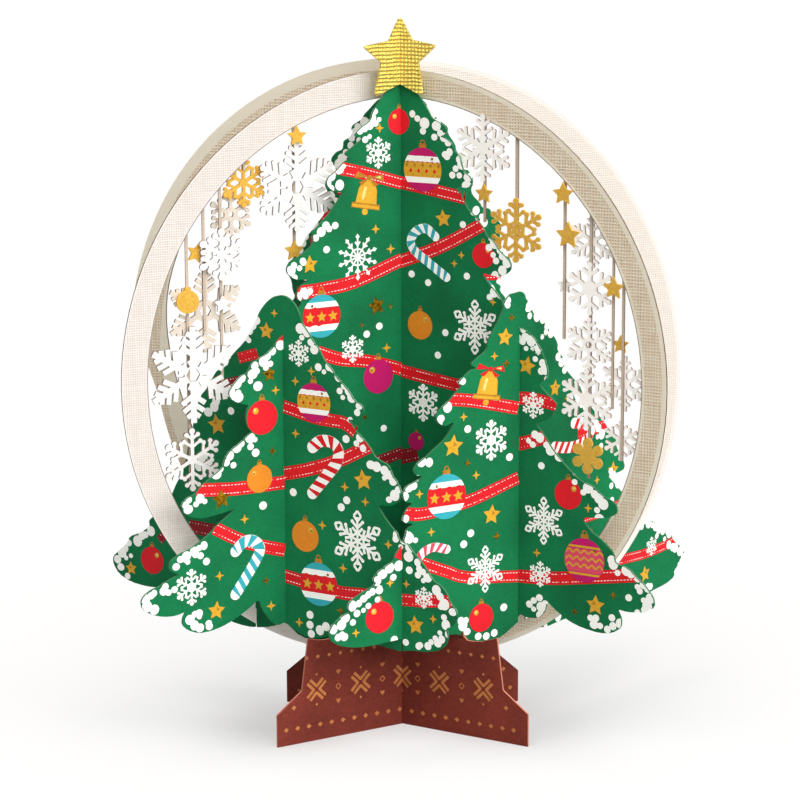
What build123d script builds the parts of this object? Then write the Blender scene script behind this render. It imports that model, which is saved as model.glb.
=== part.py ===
# Pop-up card: a Christmas tree in a round frame, standing on a crossed foot.
# Every piece is a flat sheet of card. Sheets stand upright and slot into each
# other. Millimetres, +Z up, front faces -Y, the foot rests on z = 0 and the
# foot's cross is on the Z axis.
from build123d import *
import math
import os

os.makedirs("parts", exist_ok=True)

# ---------------------------------------------------------------- dimensions
T_TREE = 0.60        # card of the tree sheets
T_RING = 0.60        # card of the round frame
T_FOOT = 0.60        # card of the foot
T_STAR = 0.80        # foiled board of the star on top
T_STRIP = 0.40       # hanging strips
T_DIE = 0.75         # hanging die-cut shapes
CLEAR = 0.12         # gap on each side of a sheet in a slot

FOLD_AZ = 57.8       # heading of the tree and foot sheets, from the viewer
LAT_Y = 20.439       # tree crossings in front of and behind the axis
LAT_X = LAT_Y * math.tan(math.radians(FOLD_AZ))   # crossings left and right
LAT_S = LAT_X / math.sin(math.radians(FOLD_AZ))   # sheet length between two
RING_Y = 24.3        # the frame's crossing line, behind the tree
RING_Z = 97.90       # its centre height
AZ_FL, AZ_FR, AZ_BL = 65.3, 58.3, 113.0           # headings of its halves
AZ_BENT = 140.0      # the right tree's rear flap is bent back to this
R_FRONT_OUT, R_FRONT_IN = 83.62, 76.06            # front halves
R_LEFT_OUT, R_LEFT_OUT_LOW = 86.50, 78.80         # rear left half, top / low
R_LEFT_IN, R_LEFT_IN_LOW = 76.06, 70.70
R_RIGHT_OUT, R_RIGHT_IN = 85.72, 78.16            # rear right half
LEAN_X, LEAN_Z, LEAN_Z0 = 0.575, 0.224, 183.6     # its leaning plane
FOOT_FRONT, FOOT_REAR = 40.6, 39.2                # leg lengths
FOOT_H, FOOT_TOE, FOOT_SHOULDER = 29.4, 9.2, 14.85


def heading(deg):
    """Unit vector at an angle from the viewer's side (-Y) toward +X."""
    a = math.radians(deg)
    return (math.sin(a), -math.cos(a))


D_A = (math.sin(math.radians(FOLD_AZ)), math.cos(math.radians(FOLD_AZ)))
D_B = (-D_A[0], D_A[1])
X_LEFT, X_RIGHT = (-LAT_X, 0.0), (LAT_X, 0.0)
X_BACK, X_FRONT = (0.0, LAT_Y), (0.0, -LAT_Y)


def upright(origin, direction, shift=0.0):
    """Vertical work plane: local x runs along the sheet, local y is up."""
    d = Vector(direction[0], direction[1], 0)
    n = d.cross(Vector(0, 0, 1))
    return Plane(origin=Vector(origin[0], origin[1], 0) + n * shift,
                 x_dir=d, z_dir=n)


def plate(points, plane, thick, holes=()):
    """A flat sheet with the given outline, centred on its plane."""
    face = make_face(Polyline(*points, close=True))
    solid = extrude(face, amount=thick / 2, both=True)
    for h in holes:
        cut = make_face(Polyline(*h, close=True))
        solid = solid - extrude(cut, amount=thick, both=True)
    return plane * solid


def slot(at, direction, z0, z1, thick, length=3.0):
    """Slot cutter: a thin upright box along the other sheet's direction."""
    pl = upright(at, direction)
    box = Box(length, z1 - z0, thick + 2 * CLEAR,
              align=(Align.CENTER, Align.MIN, Align.CENTER))
    return pl * Pos(0, z0, 0) * box


def along(origin, direction, t):
    return (origin[0] + direction[0] * t, origin[1] + direction[1] * t)


def finish(shape, name):
    solids = shape.solids()
    body = max(solids, key=lambda s: s.volume)
    body.label = name
    export_step(body, "parts/%s.step" % name)
    return body


# ------------------------------------------------------------- tree outlines
# (distance along the sheet, height); rounded tiers of branches
REAR_A = [
    (-0.88, 29.63), (-2.18, 29.13), (-3.2, 29.28), (-4.48, 30.17), (-5.61, 31.38), (-7.21, 33.55), (-8.03, 35.12),
    (-8.52, 36.92), (-9.39, 37.13), (-11.11, 35.84), (-12.8, 34.81), (-15.37, 33.47), (-17.22, 32.61), (-19.34,
    31.78), (-21.01, 31.28), (-23.12, 30.84), (-24.77, 30.64), (-26.86, 30.58), (-28.42, 30.85), (-30.28, 31.59),
    (-31.41, 32.29), (-32.42, 33.32), (-32.78, 34.17), (-32.68, 35.29), (-32.42, 36.07), (-31.86, 36.94), (-32.38,
    37.12), (-34.24, 36.72), (-35.79, 36.62), (-37.84, 36.78), (-39.45, 37.11), (-41.48, 37.79), (-42.83, 38.47),
    (-44.23, 39.51), (-44.89, 40.37), (-45.14, 41.54), (-45.05, 42.33), (-44.54, 43.2), (-43.85, 43.84), (-42.61,
    44.59), (-41.56, 45.03), (-40.12, 45.39), (-38.83, 45.86), (-36.96, 46.73), (-35.58, 47.27), (-33.92, 47.79),
    (-33.67, 48.15), (-34.69, 48.56), (-35.46, 49.04), (-36.38, 49.84), (-36.61, 50.59), (-36.26, 51.66), (-35.47,
    52.44), (-33.8, 53.34), (-32.33, 53.95), (-30.26, 54.6), (-28.78, 55.22), (-27.11, 56.12), (-25.79, 56.9),
    (-24.1, 58), (-22.94, 58.88), (-21.67, 60.03), (-20.67, 60.79), (-19.4, 61.57), (-18.15, 62.4), (-16.24,
    63.74), (-16.23, 64.11), (-18.13, 63.72), (-19.69, 63.44), (-21.79, 63.15), (-23.43, 62.96), (-25.51, 62.78),
    (-27.14, 62.92), (-29.2, 63.45), (-30.45, 64.02), (-31.59, 64.91), (-32.09, 65.79), (-32.22, 67.11), (-31.83,
    67.95), (-30.71, 68.74), (-29.78, 69.21), (-28.53, 69.61), (-27.63, 70.23), (-26.57, 71.41), (-25.66, 72.18),
    (-24.4, 72.96), (-23.5, 73.51), (-22.45, 74.13), (-21.45, 74.75), (-19.98, 75.69), (-19.23, 76.63), (-18.78,
    78.08), (-18.28, 79.05), (-17.42, 80.08), (-16.42, 80.84), (-14.73, 81.77), (-13.57, 82.52), (-12.29, 83.5),
    (-11.42, 84.11), (-10.49, 84.68), (-10.45, 85.26), (-11.27, 86.18), (-11.72, 87.08), (-12.04, 88.42), (-12.09,
    89.46), (-11.9, 90.75), (-11.62, 91.56), (-11.11, 92.32), (-11.4, 92.72), (-12.65, 92.97), (-13.8, 93.33),
    (-15.46, 93.99), (-16.4, 94.75), (-17.13, 96.02), (-17.11, 96.93), (-16.34, 97.96), (-15.54, 98.87), (-14.27,
    100.16), (-13.27, 100.86), (-12.01, 101.36), (-11.18, 102.11), (-10.32, 103.51), (-9.48, 104.3), (-8.21,
    104.92), (-7.18, 105.36), (-5.82, 105.86), (-4.82, 106.42), (-3.63, 107.35), (-3.05, 107.97), (-2.79, 108.62),
    (-2.06, 109.4), (-0.48, 110.74), (1.26, 112.79), (4.08, 116.68), (5.37, 118.44), (5.8, 119.03), (5.61,
    119.63), (4.68, 120.58), (4.41, 121.39), (4.65, 122.48), (5.03, 123.23), (5.75, 124.04), (6.53, 124.61),
    (7.82, 125.24), (7.94, 125.55), (6.94, 125.68), (6.16, 125.74), (5.17, 125.78), (4.33, 125.98), (3.21,
    126.44), (2.46, 126.94), (1.68, 127.75), (1.37, 128.41), (1.38, 129.27), (1.65, 129.98), (2.31, 130.91),
    (3.18, 131.47), (4.74, 131.96), (5.81, 132.46), (6.95, 133.24), (7.8, 133.8), (8.8, 134.46), (9.36, 135.1),
    (9.8, 136.06), (9.81, 136.88), (9.4, 138.03), (9.65, 138.78), (10.71, 139.57), (11.45, 140.2), (12.25, 141),
    (12.97, 141.63), (13.97, 142.42), (14.77, 143.19), (15.78, 144.36), (16.64, 145.37), (17.8, 146.77), (18.54,
    147.74), (19.27, 148.8), (19.16, 149.15), (18.15, 148.97), (17.42, 149.02), (16.56, 149.33), (15.89, 149.71),
    (15.04, 150.38), (14.57, 150.9), (14.23, 151.54), (14.24, 152.12), (14.59, 152.96), (15.12, 153.53), (16.13,
    154.16), (16.86, 154.64), (17.73, 155.25), (18.41, 155.86), (19.28, 156.79), (20.1, 157.35), (21.35, 157.84),
    (21.57, 158.21), (20.92, 158.67), (20.51, 159.01), (20.14, 159.4), (20.43, 159.82), (21.53, 160.49), (22.35,
    161.02), (23.37, 161.7), (24.22, 162.23), (25.38, 162.91), (25.71, 163.35), (25.13, 163.63), (23.98, 163.87),
    (23.49, 164.11), (23.41, 164.48), (23.86, 165.04), (25.11, 166.08), (26.06, 166.7), (27.22, 167.26), (27.9,
    167.75), (28.49, 168.46), (28.77, 169.02), (28.92, 169.76), (29.38, 170.6), (30.41, 172.03), (31.18, 173.01),
    (32.11, 174.07), (33.15, 175.18), (34.85, 176.95), (36.1, 178.29), (37.6, 179.95), (38.45, 179.84), (39.12,
    177.9), (39.66, 176.33), (40.35, 174.25), (41.1, 173.42), (42.31, 173.36), (43.42, 173.26), (45.02, 173.07),
    (46.09, 172.46), (47.21, 171.11), (48.03, 170.08), (48.99, 168.81), (49.94, 167.86), (51.4, 166.7), (52.39,
    165.95), (53.46, 165.21), (53.84, 164.55), (53.74, 163.6), (54.28, 162.5), (55.75, 160.64), (56.39, 159.48),
    (56.55, 158.38), (57.11, 157.49), (58.35, 156.32), (58.93, 155.42), (59.16, 154.31), (59.9, 153.13), (61.55,
    151.24), (62.23, 150), (62.33, 148.76), (62.21, 148.01), (61.78, 147.35), (61.7, 146.7), (61.93, 145.72),
    (62.65, 144.75), (64.24, 143.26), (65, 142.39), (65.33, 141.67), (66.09, 141.29), (67.68, 141.04), (68.37,
    140.5), (68.5, 139.38), (69.19, 138.51), (70.79, 137.42), (71.59, 136.6), (71.99, 135.59), (72, 134.66),
    (71.6, 133.29), (71.55, 132.2), (71.83, 130.78), (72.49, 129.52), (73.91, 127.72), (74.76, 126.44), (75.51,
    124.98), (75.65, 123.86), (75.25, 122.49), (74.3, 121.79), (72.29, 121.4), (71.16, 120.89), (70.33, 119.97),
    (70.44, 119.36), (71.55, 118.7), (71.88, 118.12), (71.61, 117.3), (72.04, 116.43), (73.4, 115.04), (73.82,
    113.31), (73.56, 110.27), (74.41, 108.13), (76.83, 105.71), (78.49, 103.81), (80.3, 101.39), (81.49, 99.25),
    (82.7, 96.23), (82.82, 93.97), (81.91, 91.25), (79.77, 89.94), (75.24, 89.34), (74.94, 87.08), (78.72, 81.94),
    (81.57, 77.9), (85.05, 72.76), (87.49, 68.96), (90.21, 64.42), (91.51, 61.45), (92.12, 58.43), (91.52, 56.41),
    (89.41, 54.29), (86.44, 53.58), (80.99, 53.88), (80.04, 52.57), (83.07, 48.95), (85.8, 45.98), (89.73, 42.04),
    (91.87, 39.19), (93.38, 35.87), (93.38, 33.61), (91.87, 31.19), (89.43, 29.88), (84.75, 28.98), (80.83,
    28.74), (75.53, 29.04), (72.51, 29.93), (70.09, 31.9), (66.05, 32.67), (58.18, 32.67), (54.03, 31.66), (51.31,
    29.09), (48.93, 27.13), (45.6, 24.71), (42.99, 23.76), (39.66, 23.76), (36.57, 23.64), (32.04, 23.34), (28.77,
    22.74), (24.99, 21.54), (22.56, 20.82), (20.14, 20.22), (18.06, 20.1), (15.18, 20.4), (13.34, 21), (11.52,
    22.2), (9.49, 23.04), (6.17, 23.94), (3.71, 25.52), (0.79, 28.61)
]
REAR_B = [
    (-0.84, 31.75), (-2.32, 31.24), (-3.7, 31.12), (-5.71, 31.33), (-6.97, 31.91), (-8.16, 33.17), (-8.77, 34.31),
    (-9.11, 35.97), (-9.95, 36.09), (-11.73, 34.74), (-13.31, 33.71), (-15.52, 32.43), (-17.26, 31.66), (-19.47,
    30.98), (-21.54, 30.55), (-24.6, 30.12), (-26.65, 30.08), (-28.82, 30.4), (-30.26, 30.92), (-31.76, 31.94),
    (-32.39, 32.92), (-32.5, 34.4), (-32.23, 35.56), (-31.44, 37.02), (-31.8, 37.5), (-33.53, 37.23), (-35.38,
    37.26), (-38.37, 37.62), (-40.21, 38.16), (-41.9, 39.18), (-42.47, 40.19), (-42.23, 41.73), (-41.54, 43.01),
    (-40.03, 44.76), (-39.01, 45.7), (-37.93, 46.33), (-36.75, 47.25), (-34.8, 48.95), (-33.22, 49.74), (-31.16,
    50.05), (-30.27, 50.78), (-30.08, 52.32), (-29.52, 53.41), (-28.3, 54.62), (-27.31, 55.46), (-26, 56.4),
    (-24.89, 57.1), (-23.36, 57.97), (-22.07, 59.1), (-20.31, 61.12), (-20.9, 62.01), (-24.15, 62.26), (-26.13,
    62.51), (-27.94, 62.89), (-29.12, 63.3), (-30.31, 63.96), (-30.74, 64.75), (-30.63, 66.1), (-30.25, 66.87),
    (-29.39, 67.46), (-28.4, 67.88), (-26.76, 68.34), (-25.61, 69), (-24.3, 70.21), (-22.85, 70.96), (-20.46,
    71.66), (-18.57, 72.67), (-16.16, 74.54), (-14.34, 76.1), (-12.14, 78.21), (-10.75, 79.72), (-9.42, 81.45),
    (-8.51, 82.66), (-7.53, 84.01), (-6.66, 84.99), (-5.42, 86.15), (-5.62, 86.79), (-7.38, 87.25), (-8.55,
    87.72), (-9.77, 88.43), (-10.45, 89.19), (-10.97, 90.42), (-11.43, 91.2), (-12.07, 91.97), (-11.9, 92.64),
    (-10.8, 93.58), (-9.85, 94.36), (-8.52, 95.39), (-7.57, 96.26), (-6.46, 97.44), (-6.56, 98.14), (-7.92,
    98.74), (-8.55, 99.6), (-8.8, 101.18), (-8.69, 102.39), (-8.15, 103.89), (-7.76, 104.92), (-7.32, 106.04),
    (-6.88, 106.84), (-6.22, 107.75), (-5.7, 108.54), (-5.03, 109.65), (-4.25, 110.49), (-2.92, 111.54), (-1.88,
    112.13), (-0.56, 112.6), (0.17, 113.13), (0.71, 114.01), (1.69, 115.11), (3.66, 117.02), (4.67, 118.12),
    (5.29, 119.01), (5.9, 119.86), (6.83, 121.14), (7.8, 122.22), (9.35, 123.72), (10.45, 124.9), (11.69, 126.42),
    (11.69, 126.95), (10.46, 126.78), (9.36, 126.65), (7.82, 126.5), (6.73, 126.53), (5.5, 126.76), (4.56,
    127.15), (3.4, 127.91), (2.9, 128.64), (2.78, 129.72), (3, 130.44), (3.68, 131.19), (4.55, 131.96), (6.09,
    133.19), (7.06, 134.17), (7.98, 135.44), (8.83, 136.23), (10.07, 136.94), (10.74, 137.68), (11.2, 138.86),
    (11.81, 139.76), (12.9, 140.9), (13.57, 141.64), (14.19, 142.4), (14.86, 143.04), (15.94, 143.91), (16.49,
    144.43), (16.8, 144.9), (17.29, 145.65), (18.23, 147.12), (19.08, 148.3), (20.33, 149.83), (20.27, 150.39),
    (18.87, 150.26), (17.89, 150.21), (16.81, 150.22), (16.14, 150.51), (15.52, 151.21), (15.36, 151.85), (15.58,
    152.77), (16.13, 153.42), (17.31, 154.15), (17.99, 155), (18.55, 156.44), (18.8, 157.32), (18.86, 158.12),
    (19.31, 158.77), (20.4, 159.65), (20.95, 160.4), (21.26, 161.45), (21.81, 162.16), (22.9, 162.9), (23.8,
    163.36), (24.98, 163.78), (25.13, 164.03), (24.32, 164.26), (23.85, 164.62), (23.48, 165.31), (23.51, 165.88),
    (23.98, 166.66), (24.72, 167.2), (26.12, 167.79), (26.98, 168.17), (27.76, 168.53), (28.44, 169.29), (29.38,
    170.85), (30.18, 172.07), (31.27, 173.62), (32.44, 174.93), (34.33, 176.72), (35.83, 178.13), (37.75, 179.92),
    (38.75, 179.91), (39.39, 178.08), (39.89, 176.61), (40.55, 174.7), (41.36, 173.91), (42.77, 173.8), (43.79,
    173.64), (44.97, 173.33), (45.79, 172.91), (46.68, 172.12), (47.39, 171.45), (48.28, 170.54), (48.99, 169.87),
    (49.88, 169.08), (50.38, 168.46), (50.74, 167.7), (51.57, 167.02), (53.31, 166.05), (54.14, 165.42), (54.5,
    164.78), (54.48, 164.3), (54.06, 163.75), (54.16, 163.22), (54.83, 162.43), (55.57, 161.86), (56.77, 161.19),
    (57.25, 160.7), (57.26, 160.12), (57.32, 159.59), (57.48, 158.83), (58.01, 158.35), (59.23, 157.91), (60.06,
    157.33), (60.98, 156.32), (61.34, 155.65), (61.35, 154.97), (61.06, 154.47), (60.3, 153.88), (59.95, 153.35),
    (59.81, 152.6), (60.41, 151.86), (62.09, 150.75), (62.97, 149.9), (63.53, 148.85), (63.59, 148.09), (63.21,
    147.23), (62.82, 146.6), (62.22, 145.87), (62.16, 145.27), (62.63, 144.48), (63.03, 143.8), (63.59, 142.87),
    (63.74, 142.11), (63.57, 141.1), (63.72, 140.34), (64.28, 139.41), (64.96, 138.56), (66.13, 137.32), (66.99,
    136.36), (67.98, 135.13), (68.74, 134.27), (69.68, 133.31), (70.35, 132.4), (71.14, 131.05), (71.76, 130.1),
    (72.54, 129.01), (73.35, 128.03), (74.61, 126.64), (75.47, 125.56), (76.43, 124.19), (76.74, 123.25), (76.6,
    122.22), (76.27, 121.33), (75.57, 120.08), (75.25, 119.08), (75.14, 117.79), (74.89, 116.84), (74.34, 115.71),
    (74.4, 114.94), (75.1, 114.1), (75.32, 113.47), (75.21, 112.69), (74.79, 111.66), (73.83, 109.81), (74.41,
    108.13), (76.83, 105.71), (78.49, 103.81), (80.3, 101.39), (81.49, 99.25), (82.7, 96.23), (82.82, 93.97),
    (81.91, 91.25), (79.77, 89.94), (75.24, 89.34), (74.94, 87.08), (78.72, 81.94), (81.57, 77.9), (85.05, 72.76),
    (87.49, 68.96), (90.21, 64.42), (91.51, 61.45), (92.12, 58.43), (91.52, 56.41), (89.41, 54.29), (86.44,
    53.58), (80.99, 53.88), (80.04, 52.57), (83.07, 48.95), (85.8, 45.98), (89.73, 42.04), (91.87, 39.19), (93.38,
    35.87), (93.38, 33.61), (91.87, 31.19), (89.43, 29.88), (84.75, 28.98), (80.83, 28.74), (75.53, 29.04),
    (72.51, 29.93), (70.09, 31.9), (66.05, 32.67), (58.18, 32.67), (54.03, 31.66), (51.31, 29.09), (48.93, 27.13),
    (45.6, 24.71), (42.99, 23.76), (39.66, 23.76), (36.57, 23.64), (32.04, 23.34), (28.77, 22.74), (24.99, 21.54),
    (22.56, 20.82), (20.14, 20.22), (18.06, 20.1), (15.18, 20.4), (13.34, 21), (11.52, 22.2), (9.49, 23.04),
    (6.17, 23.94), (3.74, 25.98), (0.87, 30.27)
]
FRONT_B = [
    (38.17, 121.92), (36.84, 121.66), (35.8, 121.16), (34.48, 120.16), (33.68, 119.21), (32.94, 117.78), (32.49,
    116.66), (32.06, 115.21), (31.42, 114.1), (30.2, 112.72), (29.46, 111.77), (28.81, 110.71), (28.13, 109.9),
    (27.04, 108.88), (26.36, 108.07), (25.71, 107.02), (25.2, 106.19), (24.55, 105.14), (23.79, 104.26), (22.49,
    103.09), (21.77, 102.28), (21.25, 101.4), (20.57, 100.67), (19.36, 99.67), (18.38, 98.82), (17.08, 97.65),
    (16.27, 96.71), (15.49, 95.5), (14.65, 94.78), (13.26, 94.18), (12.5, 93.6), (11.95, 92.74), (11.87, 92.02),
    (12.22, 91.05), (12.87, 90.47), (14.17, 89.96), (15.25, 89.75), (16.69, 89.71), (16.78, 89.19), (15.57, 87.9),
    (14.72, 86.95), (13.77, 85.83), (13.01, 85.14), (12.02, 84.5), (11.2, 83.8), (10.13, 82.65), (9.37, 81.69),
    (8.52, 80.37), (7.2, 79.5), (4.71, 78.59), (3.61, 77.7), (3.32, 76.32), (2.75, 75.32), (1.6, 74.15), (0.88,
    73.07), (0.2, 71.48), (0.16, 70.32), (0.72, 68.95), (1.53, 68.12), (3.04, 67.37), (4.31, 67.07), (6.03,
    67.05), (6.88, 66.91), (7.31, 66.6), (7.11, 65.96), (6.17, 64.66), (5.33, 63.61), (4.12, 62.27), (3.18,
    61.33), (1.98, 60.28), (1.39, 59.48), (1.1, 58.47), (0.36, 57.83), (-1.23, 57.21), (-1.79, 57.11), (-1.63,
    57.46), (-1.89, 57.18), (-2.69, 56.11), (-3.51, 55.27), (-4.79, 54.2), (-5.87, 53.19), (-7.34, 51.72), (-8.29,
    50.5), (-9.26, 48.88), (-10.34, 47.96), (-12.1, 47.23), (-13.19, 46.47), (-14.21, 45.25), (-14.76, 44.33),
    (-15.15, 43.22), (-15.71, 42.39), (-16.72, 41.36), (-17.24, 40.44), (-17.54, 39.13), (-17.37, 38.11), (-16.63,
    36.83), (-15.81, 36.15), (-14.49, 35.68), (-14.15, 34.94), (-14.59, 33.52), (-14.59, 32.4), (-14.15, 30.96),
    (-13.36, 30), (-11.81, 28.98), (-10.33, 28.42), (-8.11, 28), (-6.18, 27.79), (-3.49, 27.65), (-1.87, 27.44),
    (-0.43, 27.02), (1.11, 26.94), (3.61, 27.14), (5.96, 27.39), (9.45, 27.82), (12.56, 28.1), (16.97, 28.4),
    (19.75, 28.34), (22.42, 27.86), (24.18, 27.45), (25.97, 26.87), (27.56, 26.48), (29.81, 26.07), (31.76,
    26.32), (34.46, 27.35), (36.23, 28.19), (38.03, 29.28), (39.64, 29.25), (41.94, 28.05), (44.29, 27.33),
    (47.98, 26.67), (50.52, 26.45), (53.3, 26.55), (55.86, 26.88), (59.58, 27.59), (62.52, 28.13), (66.27, 28.78),
    (69.6, 29.7), (74.31, 31.41), (77.29, 32.4), (80.14, 33.19), (82.4, 33.43), (85.3, 33.22), (87.77, 33.27),
    (91.16, 33.61), (93.45, 34.16), (95.86, 35.23), (97.22, 36.23), (98.25, 37.7), (98.71, 38.74), (98.82, 39.93),
    (98.37, 40.86), (97.11, 42.03), (95.87, 43.13), (93.97, 44.78), (93.08, 45.84), (92.71, 46.88), (91.7, 47.64),
    (89.49, 48.52), (87.86, 49.35), (85.9, 50.59), (85.21, 51.46), (85.43, 52.42), (85.22, 53.07), (84.48, 53.75),
    (83.43, 54.51), (81.48, 55.74), (80.14, 56.91), (78.67, 58.66), (77.79, 60), (77.04, 61.66), (76.45, 62.89),
    (75.71, 64.35), (74.93, 65.67), (73.71, 67.57), (72.93, 69.27), (72.17, 71.69), (71.66, 73.58), (71.14,
    75.97), (70.52, 77.56), (69.45, 79.23), (69.09, 80.48), (69.24, 82.01), (69.1, 83.54), (68.58, 85.91), (67.96,
    87.79), (66.88, 90.21), (65.9, 91.74), (64.47, 93.23), (63.54, 94.45), (62.58, 96.07), (61.83, 97.24), (60.88,
    98.59), (59.87, 99.36), (58.25, 99.98), (57.33, 100.77), (56.62, 102.16), (55.88, 103.2), (54.72, 104.45),
    (53.71, 105.43), (52.32, 106.69), (51.23, 107.9), (49.84, 109.72), (48.8, 111.29), (47.54, 113.47), (46.81,
    114.86), (46.2, 116.22), (45.52, 117.31), (44.37, 118.72), (43.39, 119.71), (42.03, 120.83), (40.88, 121.43),
    (39.31, 121.86)
]
FRONT_A = [
    (-1.07, 30.46), (-3.57, 30.36), (-5.57, 30.25), (-8.14, 30.08), (-10.32, 30.06), (-13.3, 30.15), (-15.55,
    30.42), (-18.3, 31.04), (-20.12, 31.69), (-22, 32.73), (-22.9, 33.68), (-23.31, 35.05), (-23.13, 36.12),
    (-22.28, 37.48), (-21.37, 38.37), (-19.89, 39.26), (-18.69, 39.79), (-17.13, 40.22), (-16.71, 40.67), (-17.21,
    41.38), (-17.28, 42.01), (-16.93, 42.89), (-16.18, 43.58), (-14.61, 44.47), (-13.41, 45.03), (-11.92, 45.56),
    (-10.67, 46.08), (-8.96, 46.88), (-8.54, 47.41), (-9.17, 47.95), (-9.25, 48.5), (-8.82, 49.38), (-7.9, 50.13),
    (-5.97, 51.16), (-4.71, 51.79), (-3.42, 52.36), (-2.83, 52.94), (-2.61, 53.85), (-1.97, 54.79), (-0.55,
    56.27), (0.25, 57.4), (0.86, 58.79), (1.16, 59.7), (1.3, 60.66), (1.88, 61.27), (3.23, 61.87), (2.97, 62.29),
    (0.95, 62.75), (0.19, 63.38), (0.29, 64.54), (0.55, 65.34), (1.14, 66.24), (1.81, 66.88), (2.93, 67.63),
    (2.81, 68.06), (1.38, 68.4), (0.64, 69.05), (0.2, 70.39), (0.33, 71.33), (1.09, 72.4), (2.09, 73.03), (3.89,
    73.59), (5.03, 74.05), (6.16, 74.69), (6.07, 75.08), (4.73, 75.44), (4.02, 75.88), (3.58, 76.63), (3.67,
    77.26), (4.34, 78.1), (5.22, 78.79), (6.8, 79.68), (7.95, 80.43), (9.3, 81.43), (10.54, 82.27), (12.35,
    83.42), (13.51, 84.35), (14.64, 85.58), (15.44, 86.71), (16.35, 88.35), (16.05, 88.75), (14.37, 88.13),
    (13.25, 88.15), (12.07, 88.82), (11.36, 89.57), (10.73, 90.8), (10.88, 91.64), (11.87, 92.58), (12.7, 93.2),
    (13.83, 93.85), (14.9, 94.69), (16.49, 96.18), (17.56, 97.13), (18.69, 98.05), (18.87, 98.63), (18.19, 99.16),
    (18.28, 99.68), (19.18, 100.48), (20.08, 101.19), (21.44, 102.21), (22.43, 102.67), (23.57, 102.82), (23.53,
    103.16), (22.3, 103.87), (22.39, 104.51), (23.85, 105.45), (25.05, 106.21), (26.65, 107.21), (27.37, 108.17),
    (27.59, 109.62), (28, 110.68), (28.83, 111.91), (29.51, 112.94), (30.42, 114.32), (31.18, 115.59), (32.18,
    117.43), (32.67, 118.6), (32.89, 119.74), (33.34, 120.61), (34.26, 121.68), (35.07, 122.29), (38.356, 122.75),
    (38.356, 102.64), (38.356, 50.91), (38.356, 29.7), (34.87, 27.43), (32.91, 26.37), (30.55, 25.92), (28.53,
    25.73), (25.72, 25.68), (23.61, 26.07), (21.05, 27.11), (19.68, 27.84), (18.75, 28.67), (17.39, 29.07),
    (14.85, 29.26), (12.42, 29.24), (8.76, 29.01), (5.69, 29.27), (1.55, 30.15)
]
FRONT_A_BENT = [
    (0, 122.75), (0.9, 122.45), (1.84, 121.79), (2.29, 120.57), (3.16, 119.7), (4.94, 118.7), (5.79, 117.82),
    (6.18, 116.6), (7.2, 115.63), (9.38, 114.37), (10.49, 113.38), (11.14, 112.11), (11.91, 111.24), (13.21,
    110.28), (14.44, 109.11), (16.28, 107.08), (16.95, 105.79), (16.84, 104.54), (17.42, 103.52), (19, 102.19),
    (19.68, 101.11), (19.83, 99.7), (20.62, 98.45), (22.48, 96.71), (24.13, 95.29), (26.47, 93.41), (27.8, 91.99),
    (28.82, 90.22), (30.3, 88.41), (33.03, 85.56), (35.18, 83.63), (37.92, 81.56), (39.55, 80.1), (40.94, 78.45),
    (42.45, 77.16), (44.89, 75.53), (45.72, 74.26), (45.41, 72.66), (46.06, 71.17), (48.05, 68.97), (49.11,
    67.37), (49.85, 65.5), (49.37, 64.61), (47.44, 64.19), (45.45, 64.13), (42.35, 64.38), (42.09, 63.61), (44.54,
    61.39), (46.39, 59.8), (48.66, 57.94), (49.91, 56.56), (50.86, 54.93), (50.96, 53.84), (50.28, 52.71), (51.27,
    51.79), (54.46, 50.57), (56.85, 49.38), (59.73, 47.58), (61.85, 46.69), (64.37, 46.22), (66.08, 45.39),
    (67.93, 43.77), (69.81, 42.74), (72.75, 41.76), (74.15, 40.73), (74.78, 39.1), (76.11, 37.75), (78.89, 35.91),
    (80.38, 34.52), (81.39, 32.81), (81.28, 31.72), (79.97, 30.68), (78.65, 30.01), (76.6, 29.33), (75.9, 28.62),
    (76.15, 27.49), (75.25, 26.74), (72.7, 25.96), (70.13, 25.52), (66.15, 25.18), (62.76, 24.76), (58.12, 24.01),
    (54.08, 23.55), (48.45, 23.13), (43.52, 23.04), (36.61, 23.26), (31.49, 23.86), (25.39, 25.17), (21.94,
    25.66), (19.28, 25.62), (16.94, 25.51), (13.64, 25.28), (11.11, 25.45), (7.97, 26.14), (6.6, 26.5), (5.9,
    27.2), (5.6, 30.9), (3.46, 31.9), (0, 33.3), (0, 50.92), (0, 102.74)
]

FOOT_CROSS = LAT_Y / (2 * math.cos(math.radians(FOLD_AZ)))  # foot meets tree
MID_LEFT, MID_RIGHT, MID_FRONT, MID_BACK = 70.0, 73.0, 42.0, 102.0
MID_FOOT_FRONT, MID_FOOT_REAR = 27.3, 24.6


# ---------------------------------------------------------------- the frame
def ring_points(r_out, r_in, a0, a1, n=60, side=1):
    """Half-ring outline between two angles, r given as functions."""
    pts = []
    for i in range(n + 1):
        a = math.radians(a0 + (a1 - a0) * i / n)
        r = r_out(math.degrees(a))
        pts.append((side * r * math.cos(a), RING_Z + r * math.sin(a)))
    for i in range(n + 1):
        a = math.radians(a1 + (a0 - a1) * i / n)
        r = r_in(math.degrees(a))
        pts.append((side * r * math.cos(a), RING_Z + r * math.sin(a)))
    return pts


def step(a, hi, lo, a_hi, a_lo):
    """Smooth change of a radius from hi to lo as the angle falls."""
    if a >= a_hi:
        return hi
    if a <= a_lo:
        return lo
    s = (a_hi - a) / (a_hi - a_lo)
    s = s * s * (3 - 2 * s)
    return hi + (lo - hi) * s


APEX = (0.0, RING_Y)
D_FL, D_FR, D_BL = heading(-AZ_FL), heading(AZ_FR), heading(-AZ_BL)

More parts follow.
